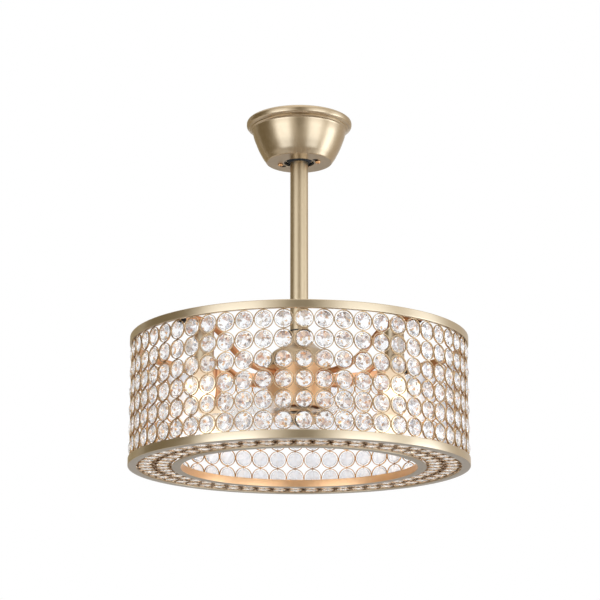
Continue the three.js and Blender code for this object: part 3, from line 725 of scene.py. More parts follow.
def gathered(parts):
    """One list of points and faces from several."""
    points, faces = [], []
    for part_points, part_faces in parts:
        start = len(points)
        points += part_points
        faces += [tuple(index + start for index in face) for face in part_faces]
    return points, faces


def placed(part, matrix):
    points, faces = part
    return [tuple(matrix @ Vector(p)) for p in points], faces


def cut_out(piece, tool):
    """Cuts a tool out of a piece and keeps the result as its mesh."""
    cutter = add_object("cutter", closed_mesh("cutter", tool))
    modifier = piece.modifiers.new("cut", "BOOLEAN")
    modifier.operation = "DIFFERENCE"
    modifier.solver = "EXACT"
    modifier.object = cutter
    bpy.context.view_layer.update()
    evaluated = piece.evaluated_get(bpy.context.evaluated_depsgraph_get())
    result = bpy.data.meshes.new_from_object(evaluated)
    piece.modifiers.clear()
    before, after = len(piece.data.polygons), len(result.polygons)
    if after <= before / 2:
        raise RuntimeError(f"the cut in {piece.name} failed: {before} faces, then {after}")
    piece.data = result
    smoothed(result, SHARP_EDGE)
    bpy.data.objects.remove(cutter)


# Ceiling pieces

CANOPY_TURN = math.radians(-13)
KEYHOLE_TURN = math.radians(-19)
SCREW_CIRCLE = 0.029
SLOT_HALF = 0.0023
ENTRY_RADIUS = 0.0046
SLOT_CUT = (-0.069, -0.064)
ENTRY_CUT = (-0.0695, -0.0635)
BALL_CENTRE = -0.043685
BALL_RADIUS = 0.028
BALL_BORE = 0.01375
BALL_RISE = 0.018
BALL_DROP = 0.024


def screw_point(side, turn=0.0):
    angle = CANOPY_TURN + turn
    return side * SCREW_CIRCLE * math.cos(angle), side * SCREW_CIRCLE * math.sin(angle)


class CRYSTALFAN_OT_canopy(bpy.types.Operator):
    """Build the spun canopy with its keyholes, screws and the swivel ball"""

    bl_idname = "crystal_fan.canopy"
    bl_label = "Canopy"

    def execute(self, context):
        self.add_shell(context.scene.crystal_fan.sizes.round_segments)
        for side, label in ((-1, "left"), (1, "right")):
            self.add_screw(side, label)
        self.add_ball()
        dress("dark_steel", "hanging_bracket", "ball_pin")
        dress("black_plastic", "remote_receiver")
        return {"FINISHED"}

    def add_shell(self, segments):
        """The shell, from (radius, depth under the ceiling) pairs in millimetres."""
        rim = [
            (70.3, 0.0), (73.2, 0.4), (75.6, 1.1), (77.4, 2.1), (78.8, 3.4), (79.6, 5.0),
            (79.8, 6.3), (79.75, 8.0), (79.6, 9.5), (79.2, 10.8), (78.4, 11.8), (77.0, 12.8),
            (75.4, 13.4), (74.3, 13.7), (73.8, 14.2), (74.2, 14.9), (74.3, 15.6), (73.8, 16.3),
            (72.8, 16.8), (71.9, 17.0), (71.3, 17.4)]
        bowl = smooth_outline([
            (70.9, 18.0), (69.6, 24.3), (68.3, 29.0), (66.3, 34.5), (63.8, 41.0), (61.0, 47.5),
            (57.7, 54.0), (54.8, 59.4), (52.2, 63.3), (50.6, 65.7), (49.9, 66.7), (49.1, 67.3),
            (48.3, 67.6)], 4)
        hole = [
            (47.8, 67.6), (23.9, 67.6), (23.4, 67.6), (23.1, 67.4), (23.0, 67.0), (23.0, 66.4)]
        lining = [
            (47.3, 66.4), (50.0, 64.2), (53.8, 58.8), (59.9, 47.3), (65.1, 34.4), (68.4, 23.6),
            (69.7, 16.8), (72.2, 13.4), (76.4, 11.6), (78.1, 9.2), (78.3, 6.4), (76.4, 3.4),
            (70.4, 1.2)]
        outline = [(radius * MM, -depth * MM) for radius, depth in rim + bowl + hole + lining]
        shell = add_piece(
            "canopy_shell", turned(outline, segments), "canopy_gold", CEILING,
            ["canopy"])
        for side in (-1, 1):
            screw, entry = screw_point(side), screw_point(side, KEYHOLE_TURN)
            cut_out(shell, prism(slot_corners(screw, entry, SLOT_HALF), *SLOT_CUT))
            cut_out(shell, prism(round_corners(ENTRY_RADIUS, 24, entry), *ENTRY_CUT))

    def add_screw(self, side, label):
        """A canopy screw with a cross slot, its head just under the canopy."""
        head_top, head_bottom, shank_top = -0.0679, -0.0701, -0.0623
        outline = [
            (0.0, head_bottom), (0.0018, head_bottom), (0.0029, head_bottom + 0.0003),
            (0.0037, head_bottom + 0.0010), (0.0040, head_top - 0.0003), (0.0039, head_top),
            (0.0020, head_top), (0.0020, shank_top - 0.0004), (0.0016, shank_top), (0.0, shank_top)]
        x, y = screw_point(side)
        slot_turn = 0.5 + side * 0.4
        matrix = Matrix.Translation((x, y, 0.0)) @ Matrix.Rotation(slot_turn, 4, "Z")
        screw = add_piece(
            f"canopy_screw_head_{label}", placed(turned(outline, 32, closed=False), matrix),
            "brass_screw", CEILING, [f"canopy_screw_{label}"])
        long_half, short_half, slot_depth = 0.0021, 0.00045, 0.001
        for a, b in ((long_half, short_half), (short_half, long_half)):
            low, high = head_bottom - slot_depth, head_bottom + slot_depth
            bar = prism(box_outline(-a, a, -b, b), low, high)
            cut_out(screw, placed(bar, matrix))

    def add_ball(self):
        """The swivel ball with its bore and the groove that keeps it from turning."""
        low, high = math.asin(-BALL_DROP / BALL_RADIUS), math.asin(BALL_RISE / BALL_RADIUS)
        outline = [
            (BALL_BORE, BALL_CENTRE - BALL_DROP),
            *arc((0.0, BALL_CENTRE), BALL_RADIUS, low, high, 32),
            (BALL_BORE, BALL_CENTRE + BALL_RISE)]
        swivel = add_piece(
            "swivel_ball", turned(softened(outline, 0.0006, 2), SMALL_SEGMENTS),
            "black_plastic", HANGING, ["hanger_ball"])
        groove_depth, groove_half, past_ends = 0.005, 0.0023, 0.03
        near, far = BALL_RADIUS - groove_depth, BALL_RADIUS + 0.002
        groove = box_outline(near, far, -groove_half, groove_half)
        cut_out(swivel, prism(groove, BALL_CENTRE - past_ends, BALL_CENTRE + past_ends))


class CRYSTALFAN_OT_rod(bpy.types.Operator):
    """Build the downrod and the rubber washer on it"""

    bl_idname = "crystal_fan.rod"
    bl_label = "Downrod"

    def execute(self, context):
        pipe = softened(box_outline(10.85, 13.45, 156.3, 511.3), 0.5, 3)
        add_turned(
            "rod_tube", pipe, SMALL_SEGMENTS, "drawn_gold", HANGING, "downrod")
        ring = softened(box_outline(13.6, 16.35, 204.0, 205.7), 0.8, 4)
        add_turned("washer_ring", ring, 72, "black_rubber", HANGING, "rod_washer")
        dress("turned_steel", "motor_coupling", "coupling_pin")
        return {"FINISHED"}


class CRYSTALFAN_OT_housing(bpy.types.Operator):
    """Build the dome and the housing over the motor, and finish the motor's own pieces"""

    bl_idname = "crystal_fan.housing"
    bl_label = "Motor housing"

    def execute(self, context):
        segments = context.scene.crystal_fan.sizes.round_segments
        for name, outline, finish, node in (
            ("dome_cover", self.dome_outline(), "dome_gold", "housing_dome"),
            ("motor_housing", self.shell_outline(), "housing_gold", "housing_body"),
        ):
            add_turned(name, outline, segments, finish, HANGING, node)
        dress("turned_steel", "motor_shaft", "stator_core", "upper_bearing", "lower_bearing")
        dress("copper_wire", "upper_winding", "lower_winding")
        dress("steel", "rotor_bell")
        dress("magnet", "rotor_magnet")
        return {"FINISHED"}

    def dome_outline(self):
        """Bell-shaped cover, its curves given as shares of its width and height."""
        foot, neck, bottom, height, wall = 47.0, 15.4, 150.3, 53.4, 1.5
        outer_shares = [
            (1, 0), (0.985, 0.08), (0.949, 0.2), (0.857, 0.335), (0.715, 0.435), (0.525, 0.51),
            (0.335, 0.595), (0.177, 0.69), (0.066, 0.79), (0.015, 0.9), (0, 1)]
        inner_shares = [(0.02, 1.0), (0.06, 0.8), (0.30, 0.585), (0.69, 0.42), (0.93, 0.19), (1, 0)]
        outside, inside = [
            [(neck + r * (foot - neck), bottom + h * height) for r, h in shares]
            for shares in (outer_shares, inner_shares)]
        return smooth_outline(outside, 4) + [(radius - wall, h) for radius, h in inside]

    def shell_outline(self):
        """Cup with a groove under its top edge, rounded below, with a lipped hole."""
        radius, top, wall, bend = 47.0, 150.0, 1.5, 12.0
        centre = (radius - bend, 97.0)
        quarter = math.pi / 2
        return [
            (6.3, top), (radius - 0.8, top), (radius, top - 0.6), (radius, top - 3.4),
            (radius - 0.4, top - 3.9), (radius - 0.4, top - 4.5), (radius, top - 5.0),
            (radius, 97.0), *arc(centre, bend, 0.0, -quarter, 12)[1:-1], (38.0, 85.0),
            (36.8, 85.2), (36.5, 85.8), (36.5, 86.5),
            *arc(centre, bend - wall, -quarter, 0.0, 12)[1:], (radius - wall, top - wall),
            (6.3, top - wall)]


# Arms and lamps

ARM_SHARES = [
    (0, 0), (0.05, 0), (0.166, 0.036), (0.286, 0.13), (0.387, 0.3), (0.492, 0.58),
    (0.583, 0.85), (0.68, 1.02), (0.795, 1.09), (0.88, 1.045), (0.925, 1.006), (0.96, 1), (1, 1)]
ARM_ROOT = (0.0473, 0.135)
ARM_END = (0.242517, 0.185)
ARM_RADIUS = 0.00475
NUT_INSET = 0.009
LAMP_CIRCLE = 0.190
LAMP_COUNT = 4


def arm_line(steps):
    """The arm's centre line over +X, from the housing to the top band."""
    knots = [(
        ARM_ROOT[0] + reach * (ARM_END[0] - ARM_ROOT[0]), 0,
        DRUM_LOW + ARM_ROOT[1] + rise * (ARM_END[1] - ARM_ROOT[1])) for reach, rise in ARM_SHARES]
    return smooth_line(knots, steps)


def quarter_turn(i):
    return Matrix.Rotation(math.radians(45 + 90 * i), 4, "Z")


class CRYSTALFAN_OT_arms(bpy.types.Operator):
    """Build the four curved arms and the dark nuts at their ends"""

    bl_idname = "crystal_fan.arms"
    bl_label = "Arms"

    def execute(self, context):
        line = arm_line(6)
        tube = swept(line, round_corners(ARM_RADIUS, 20), Vector((0, 1, 0)))
        boss_outline = softened([
            (0.0, -0.0008), (0.0078, -0.0008), (0.0078, 0.0022), (0.0062, 0.0046), (0.0, 0.0046)],
            0.0006, 3, closed=False)
        outward = Matrix.Rotation(math.pi / 2, 4, "Y")
        boss = placed(turned(boss_outline, 40, closed=False), Matrix.Translation(line[0]) @ outward)
        arm = gathered([tube, boss])
        nut_reach = ARM_END[0] - NUT_INSET
        nearest = min(line, key=lambda point: abs(point.x - nut_reach))
        spot = Matrix.Translation((nut_reach, 0, nearest.z)) @ outward
        nut = placed(self.nut_part(), spot)
        for i in range(LAMP_COUNT):
            add_piece(
                f"curved_arm_{i + 1}", placed(arm, quarter_turn(i)), "arm_gold", HANGING,
                [f"lamp_arm_{i + 1}"])
            add_piece(
                f"lock_nut_{i + 1}", placed(nut, quarter_turn(i)), "black_steel", HANGING,
                [f"arm_nut_{i + 1}"])
        return {"FINISHED"}

    def nut_part(self):
        """A chamfered hexagon nut about Z."""
        half, reach, bore = 0.0035, 0.008, ARM_RADIUS + 0.0003
        chamfer, end_share, sides = 0.0008, 0.8685, 24
        levels = [
            (-half, end_share), (-half + chamfer, 1.0), (half - chamfer, 1.0), (half, end_share)]
        points = []
        for height, share in levels:
            for i in range(sides):
                angle = math.tau * i / sides
                radius = reach * min(hexagon_share(angle), share)
                points.append((radius * math.cos(angle), radius * math.sin(angle), height))
        for height in (half, -half):
            points += [(*corner, height) for corner in round_corners(bore, sides)]
        rings = [range(start, start + sides) for start in range(0, len(points), sides)]
        return points, bridged(rings, True)


SLEEVE_LOW, SLEEVE_TOP = [corner.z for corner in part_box("lamp_sleeve_1")]
SOCKET_LOW, STUB_TOP = [corner.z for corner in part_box("lamp_socket_1")]
BULB_LOW, BULB_TOP = [corner.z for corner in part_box("bulb_1")]
SOCKET_TOP = SLEEVE_TOP - 0.0015
GLASS_TOP = SOCKET_LOW - 0.0003
CORE_HEIGHT = BULB_LOW + 0.032


class CRYSTALFAN_OT_lamps(bpy.types.Operator):
    """Build the four lamps: sleeve, socket, threaded nipple and lit bulb"""

    bl_idname = "crystal_fan.lamps"
    bl_label = "Lamps"

    def execute(self, context):
        colours = context.scene.crystal_fan.colours
        glow = bulb_finish("bulb_glow", tuple(colours.glow), CORE_HEIGHT)
        hot = core_finish("bulb_core", colours.glow_strength)
        pieces = (
            ("sleeve", self.sleeve_part(), "sleeve_gold", "satin_gold", "lamp_sleeve"),
            ("socket", self.socket_part(), "black_plastic", "black_plastic", "lamp_socket"),
            ("nipple", self.nipple_part(), "turned_steel", "steel", None),
            ("bulb_glass", self.bulb_part(), glow, "bulb_glass", "bulb"),
            ("bulb_cap", self.cap_part(), "turned_steel", "steel", None),
            ("bulb_core", self.core_part(), hot, "bulb_glass", None),
        )
        for i in range(LAMP_COUNT):
            matrix = quarter_turn(i) @ Matrix.Translation((LAMP_CIRCLE, 0, 0))
            for name, part, finish, slot, node in pieces:
                piece = add_piece(
                    f"lamp_{name}_{i + 1}", placed(part, matrix), finish, HANGING,
                    [f"{node}_{i + 1}"] if node else ())
                piece.visible_shadow = name != "bulb_glass"
        return {"FINISHED"}

    def sleeve_part(self):
        """A drawn cup, open below, with a hole for the nipple in its top."""
        hole, outer, inner = 0.0053, 0.014, 0.0128
        return turned(softened([
            (hole, SLEEVE_TOP), (0.0125, SLEEVE_TOP), (outer, SLEEVE_TOP - 0.0018),
            (outer, SLEEVE_LOW), (inner, SLEEVE_LOW), (inner, SLEEVE_TOP - 0.0022),
            (0.0118, SLEEVE_TOP - 0.0012), (hole, SLEEVE_TOP - 0.0012)], 0.0005, 3), 64)

    def socket_part(self):
        """A grooved socket with a blind bore for the bulb's cap."""
        bore, radius, waist, bore_top = 0.0064, 0.0115, 0.0111, SOCKET_LOW + 0.0253
        groove = [(radius, 0.0), (waist, 0.0008), (waist, 0.0016), (radius, 0.0024)]
        return turned([
            (0.0, bore_top), (bore, bore_top), (bore, SOCKET_LOW), (radius, SOCKET_LOW),
            *toothed(SOCKET_LOW + 0.003, SOCKET_TOP - 0.006, 0.0046, groove),
            (radius, SOCKET_TOP), (0.0048, SOCKET_TOP), (0.0, SOCKET_TOP)], 48, closed=False)

    def nipple_part(self):
        """The threaded tube that holds sleeve and socket on the arm."""
        root, crest, low = 0.0046, 0.005, SOCKET_TOP - 0.001
        return turned([
            (0.0, low), (root, low),
            *toothed(SOCKET_TOP, STUB_TOP - 0.0009, 0.0008, [(root, 0.0), (crest, 0.0004)]),
            (root, STUB_TOP), (0.0, STUB_TOP)], 32, closed=False)

    def bulb_part(self):
        """A small round-ended bulb, its curve given as shares of its radius and length."""
        radius, length = 0.017, GLASS_TOP - BULB_LOW
        shares = [
            (0.36, 0.0), (0.6, 0.004), (0.62, 0.06), (0.7, 0.15), (0.86, 0.27), (0.965, 0.39),
            (0.975, 0.56), (0.9, 0.7), (0.7, 0.85), (0.42, 0.955), (0.16, 0.995), (0.0, 1.0)]
        outline = smooth_outline([(r * radius, GLASS_TOP - h * length) for r, h in shares], 3)
        outline[-1] = (0.0, BULB_LOW)
        return turned(list(reversed([(0.0, GLASS_TOP), *outline])), 40, closed=False)

    def cap_part(self):
        """The bulb's screw cap with its thread and contact."""
        low, tooth = GLASS_TOP + 0.0002, [(0.0056, 0.0), (0.0061, 0.001)]
        return turned([
            (0.0, low), (0.006, low), *toothed(GLASS_TOP + 0.003, BULB_TOP - 0.006, 0.002, tooth),
            (0.0052, BULB_TOP - 0.003), (0.0028, BULB_TOP - 0.0012), (0.0, BULB_TOP)],
            32, closed=False)

    def core_part(self):
        """The glowing oval inside a bulb."""
        radius, half, steps = 0.0064, 0.009, 12
        angles = [math.pi * i / steps for i in range(steps + 1)]
        return turned([
            (radius * math.sin(angle), CORE_HEIGHT - half * math.cos(angle)) for angle in angles],
            24, closed=False)


# Drum

COLUMNS = 56
ROWS = 6
PANELS = 4
LATTICE_TURN = math.radians(1.5)
RING_GAP = 0.00003
WALL_RADIUS = 0.2463
WALL_SEED = 11
BASE_SEED = 23
BASE_HEIGHT = DRUM_LOW + 0.0036
# Name, count of rings and middle radius of each row in the underside
BASE_ROWS = (("outer", COLUMNS, 0.2243), ("inner", 50, 0.1987))


class CRYSTALFAN_OT_bands(bpy.types.Operator):
    """Build the drum's top and bottom bands and the ring round its lower hole"""

    bl_idname = "crystal_fan.bands"
    bl_label = "Bands"

    def execute(self, context):
        rim, top, band = RIM_RADIUS / MM, DRUM_HEIGHT / MM, BAND_HEIGHT / MM
        reach, sheet = 6.2, 1.5
        flange, hole, hole_flange, hole_lip = 237.1, 172.6, 185.9, 11.0
        upper = softened(box_outline(rim - reach, rim, top - band + 0.2, top), 1.3, 5)
        lower = softened([
            (flange, 0.0), (rim, 0.0), (rim, band), (rim - reach, band), (rim - reach, sheet),
            (flange, sheet)], 1.0, 4)
        inner = softened([
            (hole, 0.0), (hole_flange, 0.0), (hole_flange, sheet), (hole + sheet, sheet),
            (hole + sheet, hole_lip), (hole, hole_lip)], 0.6, 4)
        segments = context.scene.crystal_fan.sizes.round_segments
        for name, outline, finish, node in (
            ("rim_top", upper, "rim_gold", "top_band"),
            ("rim_bottom", lower, "low_rim_gold", "bottom_band"),
            ("rim_inner", inner, "lip_gold", "inner_ring"),
        ):
            add_turned(name, outline, segments, finish, HANGING, node)
        return {"FINISHED"}


def ring_part(outer, width, back_width, depth, segments=36):
    """A ring about Z with a straight outside and an inside that widens to the front."""
    corners = [
        (outer - back_width, -depth / 2), (outer, -depth / 2), (outer, depth / 2),
        (outer - width, depth / 2)]
    return turned(softened(corners, width * 0.5, 2), segments)


def bead_part(radius, front, back):
    """A bead about Z, cut on both sides: a small table, eight kites and sixteen small facets."""
    table_share, star_share, rim_share, bevel_share = 0.14, 0.58, 0.92, 0.22
    half_girdle = 0.0004
    table, star, rim = radius * table_share, radius * star_share, radius * rim_share
    slope = (star * math.cos(math.pi / 8) - table) / (rim - table)
    points, faces = [], []

    def circle(reach, count, turn, height):
        """Adds a circle of points and gives their numbers."""
        points.extend((*corner, height) for corner in round_corners(reach, count, start=turn))
        return range(len(points) - count, len(points))

    girdles = []
    for side, depth in ((1, front), (-1, back)):
        tip_height, bevel = side * depth, side * (half_girdle + bevel_share * depth)
        tip = circle(table, 8, 0, tip_height)
        stars = circle(star, 8, math.pi / 8, tip_height + (bevel - tip_height) * slope)
        rims = circle(rim, 16, 0, bevel)
        girdles.append(circle(radius, 16, 0, side * half_girdle))
        faces.append(tuple(tip))
        for k in range(8):
            even, odd, following = rims[2 * k], rims[2 * k + 1], rims[(2 * k + 2) % 16]
            faces.append((tip[k], stars[k], tip[(k + 1) % 8]))
            faces.append((tip[k], stars[k - 1], even, stars[k]))
            faces.append((stars[k], even, odd))
            faces.append((stars[k], odd, following))
        faces += bridge(rims, girdles[-1])
    return points, faces + bridge(*girdles)


def pin_parts(inner, bead_radius):
    """Two fine wires that hold a bead in its ring, above and below it."""
    pin_radius, into_bead, into_ring = 0.00038, 0.0006, 0.0003
    pin = prism(round_corners(pin_radius, 6), bead_radius - into_bead, inner + into_ring)
    return gathered([
        placed(pin, Matrix.Rotation(side * math.pi / 2, 4, "X")) for side in (-1, 1)])


def solder_part(size):
    """A small flattened drop about Z."""
    shares = [(0.0, -1.0), (0.8, -0.7), (1.0, 0.0), (0.8, 0.7), (0.0, 1.0)]
    return turned([(size * across, size * up) for across, up in shares], 8, closed=False)


def around(radius, angle, height):
    """Point at a radius, an angle from the front towards +X, and a height."""
    return Vector((radius * math.sin(angle), -radius * math.cos(angle), height))


def facing(point, outward, up):
    """Matrix that sets a piece made about Z at a point, with its Z outward."""
    across = up.cross(outward).normalized()
    upright = outward.cross(across).normalized()
    matrix = Matrix((across, upright, outward)).transposed().to_4x4()
    return Matrix.Translation(point) @ matrix


def loose_turn(draw, tilt):
    """A bead's own roll and lean in its ring."""
    roll = Matrix.Rotation(draw.uniform(0, math.tau), 4, "Z")
    axis = Vector((math.cos(draw.uniform(0, math.tau)), 0.0, 0.0))
    axis.y = math.sqrt(max(0.0, 1 - axis.x ** 2))
    return Matrix.Rotation(draw.uniform(-tilt, tilt), 4, axis) @ roll


def add_crystals(place, label, rings, ring_finish, beads, bead_finish, node):
    """Makes one piece of all rings and one of all beads of a panel or a row."""
    for kind, parts, finish, slot, sharp in (
        ("rings", rings, ring_finish, "satin_gold", SHARP_EDGE),
        ("beads", beads, bead_finish, "crystal", 0),
    ):
        add_piece(
            f"{place}_{kind}_{label}", gathered(parts), finish, HANGING, [node], sharp=sharp)


class CRYSTALFAN_OT_crystal_wall(bpy.types.Operator):
    """Build the drum's wall: gold rings, their solder points and a cut bead in each"""

    bl_idname = "crystal_fan.crystal_wall"
    bl_label = "Crystal wall"

    def execute(self, context):
        sizes = context.scene.crystal_fan.sizes
        draw = random.Random(WALL_SEED)
        step = math.tau / COLUMNS
        pitch = (DRUM_HEIGHT - 2 * BAND_HEIGHT) / ROWS
        low, up, off_band = DRUM_LOW + BAND_HEIGHT, Vector((0, 0, 1)), 0.0002
        outer = WALL_RADIUS * math.tan(step / 2) - RING_GAP
        reach = outer * sizes.bead_share
        ring = gathered([
            ring_part(outer, sizes.wire_width, sizes.wire_back_width, sizes.wire_depth),
            pin_parts(outer - sizes.wire_width, reach)])
        bead = bead_part(reach, sizes.bead_front, sizes.bead_back)
        solder = solder_part(sizes.solder_size)
        per_panel = COLUMNS // PANELS
        for panel in range(PANELS):
            rings, beads = [], []
            for column in range(per_panel):
                angle = LATTICE_TURN + (column - per_panel / 2 + per_panel * panel) * step
                outward = around(1.0, angle, 0.0)
                for row in range(ROWS):
                    height = low + (row + 0.5) * pitch
                    matrix = facing(around(WALL_RADIUS, angle, height), outward, up)
                    rings.append(placed(ring, matrix))
                    beads.append(placed(bead, matrix @ loose_turn(draw, sizes.bead_tilt)))
                    side = around(WALL_RADIUS / math.cos(step / 2), angle + step / 2, height)
                    rings.append(placed(solder, facing(side, outward, up)))
                for row in range(ROWS + 1):
                    height = low + row * pitch + {0: off_band, ROWS: -off_band}.get(row, 0.0)
                    spot = around(WALL_RADIUS, angle, height)
                    rings.append(placed(solder, facing(spot, outward, up)))
            add_crystals(
                "wall", panel + 1, rings, "ring_gold", beads, "crystal",
                f"crystal_panel_{panel + 1}")
        return {"FINISHED"}


class CRYSTALFAN_OT_underside(bpy.types.Operator):
    """Build the two rows of ringed beads in the drum's underside"""

    bl_idname = "crystal_fan.underside"
    bl_label = "Underside crystals"

    def execute(self, context):
        sizes = context.scene.crystal_fan.sizes
        draw = random.Random(BASE_SEED)
        down, width, tilt = Vector((0, 0, -1)), sizes.base_wire_width, sizes.bead_tilt * 0.4
        solder = solder_part(sizes.solder_size)
        for label, count, middle in BASE_ROWS:
            step = math.tau / count
            outer = middle * math.sin(step / 2) - RING_GAP
            reach = outer * sizes.base_bead_share
            ring = gathered([
                ring_part(outer, width, width, sizes.base_wire_depth, 60),
                pin_parts(outer - width, reach)])
            bead = bead_part(reach, sizes.base_bead_front, sizes.base_bead_back)
            rings, beads = [], []
            for index in range(count):
                angle = LATTICE_TURN + index * step
                outward = around(1.0, angle, 0.0)
                matrix = facing(around(middle, angle, BASE_HEIGHT), down, outward)
                rings.append(placed(ring, matrix))
                beads.append(placed(bead, matrix @ loose_turn(draw, tilt)))
                for distance, turn in (
                    (middle * math.cos(step / 2), step / 2), (middle - outer, 0.0),
                    (middle + outer, 0.0),
                ):
                    spot = around(distance, angle + turn, BASE_HEIGHT)
                    rings.append(placed(solder, facing(spot, down, outward)))
            # The underside rings take the ring gold with painted shade.
            add_crystals(
                "underside", label, rings, "low_ring_gold", beads, "warm_crystal",
                f"base_crystals_{label}")
        return {"FINISHED"}


# Rotor

BLADE_COUNT = 5
BLADE_ROOT = 0.022
BLADE_TIP = 0.1598
BLADE_PITCH = math.radians(12)
BLADE_MIDDLE = DRUM_LOW + 0.0757


def blade_angle(i):
    return math.tau * i / BLADE_COUNT + math.pi / 2


class CRYSTALFAN_OT_blades(bpy.types.Operator):
    """Build the clear blades with their plates, screws and cap nut"""

    bl_idname = "crystal_fan.blades"
    bl_label = "Blades"

    def execute(self, context):
        blade = self.blade_part()
        for i in range(BLADE_COUNT):
            add_piece(
                f"clear_blade_{i + 1}", placed(blade, Matrix.Rotation(blade_angle(i), 4, "Z")),
                "acrylic", ROTOR, [f"blade_{i + 1}"], sharp=50.0)
        neck = softened([
            (13.3, 94.2), (43, 94.2), (43, 89.2), (30, 89.2), (30, 80.3), (20, 80.3), (20, 89.2),
            (13.3, 89.2)], 0.5, 3)
        add_turned("rotor_neck", neck, SMALL_SEGMENTS, "dome_gold", ROTOR, "rotor_base")
        for name, low, node in (
            ("blade_mount", 78.0, "blade_plate"), ("blade_clamp_disc", 71.4, "blade_clamp"),
        ):
            plate = softened(box_outline(4.3, 40, low, low + 2), 0.6, 3)
            add_turned(name, plate, SMALL_SEGMENTS, "housing_gold", ROTOR, node)
        add_piece("cap_nut", self.nut_part(), "black_steel", ROTOR, ["hub_nut"])
        add_piece("clamp_screws", self.screw_parts(), "turned_steel", ROTOR)
        return {"FINISHED"}

    def nut_part(self):
        """A domed cap nut whose wide part is a hexagon."""
        cap = [(0.0, 62.1), (2.0, 62.25), (4.5, 63.2), (6.6, 64.9), (8.0, 67.0), (8.4, 67.6)]
        wide = [(9.6, 67.7), (11.7, 68.3), (11.9, 69.0), (11.9, 70.9), (11.4, 71.1)]
        stem = [(4.0, 71.1), (4.0, 78.5), (0.0, 82.5)]
        wide_from = 0.009
        points, faces = turned(over_drum(cap + wide + stem), 60, closed=False)
        shaped = []
        for x, y, z in points:
            share = hexagon_share(math.atan2(y, x)) if math.hypot(x, y) >= wide_from else 1.0
            shaped.append((x * share, y * share, z))
        return shaped, faces

    def screw_parts(self):
        """Two small screws through the clamp disc into each blade."""
        circle, half_spread = 0.032, 0.18
        outline = [(0.0, 69.9), (1.6, 70.0), (2.6, 70.5), (2.9, 71.2), (2.9, 71.45), (0, 71.45)]
        screw = turned(over_drum(outline), 20, closed=False)
        angles = [
            blade_angle(i) + spread
            for i in range(BLADE_COUNT) for spread in (-half_spread, half_spread)]
        return gathered([
            placed(screw, Matrix.Translation((
                circle * math.cos(angle), circle * math.sin(angle), 0.0))) for angle in angles])

    def blade_part(self):
        """One blade over +X: rounded edges, a flat root and a pitched, round-tipped body."""
        half_root, half_wide, half_thick = 0.012, 0.031, 0.002
        pitched_from, pitched_over = 0.14, 0.16
        width_shares = [
            (0.0, 0.0), (0.07, 0.0), (0.13, 0.06), (0.2, 0.42), (0.28, 0.82), (0.36, 0.96),
            (0.45, 1.0), (0.58, 1.0), (0.7, 1.0), (0.79, 0.965), (0.86, 0.9), (0.91, 0.8),
            (0.95, 0.66), (0.98, 0.47), (1.0, 0.2)]
        edge = [(0.0, 0.4), (0.0008, 0.85), (0.002, 1.0)]
        sections = []
        for along, wide in smooth_outline(width_shares, 3):
            along, wide = min(1.0, along), max(0.0, min(1.0, wide))
            half = half_root + wide * (half_wide - half_root)
            t = max(0.0, min(1.0, (along - pitched_from) / pitched_over))
            turn = Matrix.Rotation(BLADE_PITCH * t * t * (3 - 2 * t), 4, "X")
            corners = [(-half + inset, -up) for inset, up in edge] + [(0.0, -1.0)]
            corners += [(half - inset, -up) for inset, up in reversed(edge)]
            corners += [(-across, -up) for across, up in corners]
            section = []
            for across, up in corners:
                point = turn @ Vector((0.0, across, up * half_thick))
                section.append((
                    BLADE_ROOT + along * (BLADE_TIP - BLADE_ROOT), point.y, BLADE_MIDDLE + point.z))
            sections.append(section)
        return skinned(sections)


# Stage

SOFTBOX_DISTANCE = 2.9
SOFTBOX_TINT = (0.84, 1.0, 1.28)
LIGHT_LOW, LIGHT_SPLIT, LIGHT_HIGH = -2.3, -0.2, 1.2
# Side, azimuth in degrees, width and brightness of the low and the high half
SOFTBOXES = (
    ("left", -42.0, 2.0, 0.82, 0.38), ("right", 42.0, 1.8, 0.78, 0.36),
    ("side", 89.0, 1.3, 1.1, 0.38))
TOP_PLACE, TOP_SIZE, TOP_LEVEL = Vector((0.2, -0.4, 2.4)), 2.2, 0.5
CARD_HIGH, CARD_SPLIT = 3.2, -1.65
DARK_TINT = (1.12, 0.95, 0.62)
PALE_TINT = (1.08, 0.98, 0.85)
FLOOR_RADIUS = 3.6
CAMERA_PLACE = (0.0, -2.9223, -1.0195)
CAMERA_PITCH = math.radians(14.207)
CAMERA_LENS = 121.39
CAMERA_SENSOR = 36.0
CAMERA_SHIFT = (0.00135, -0.002)


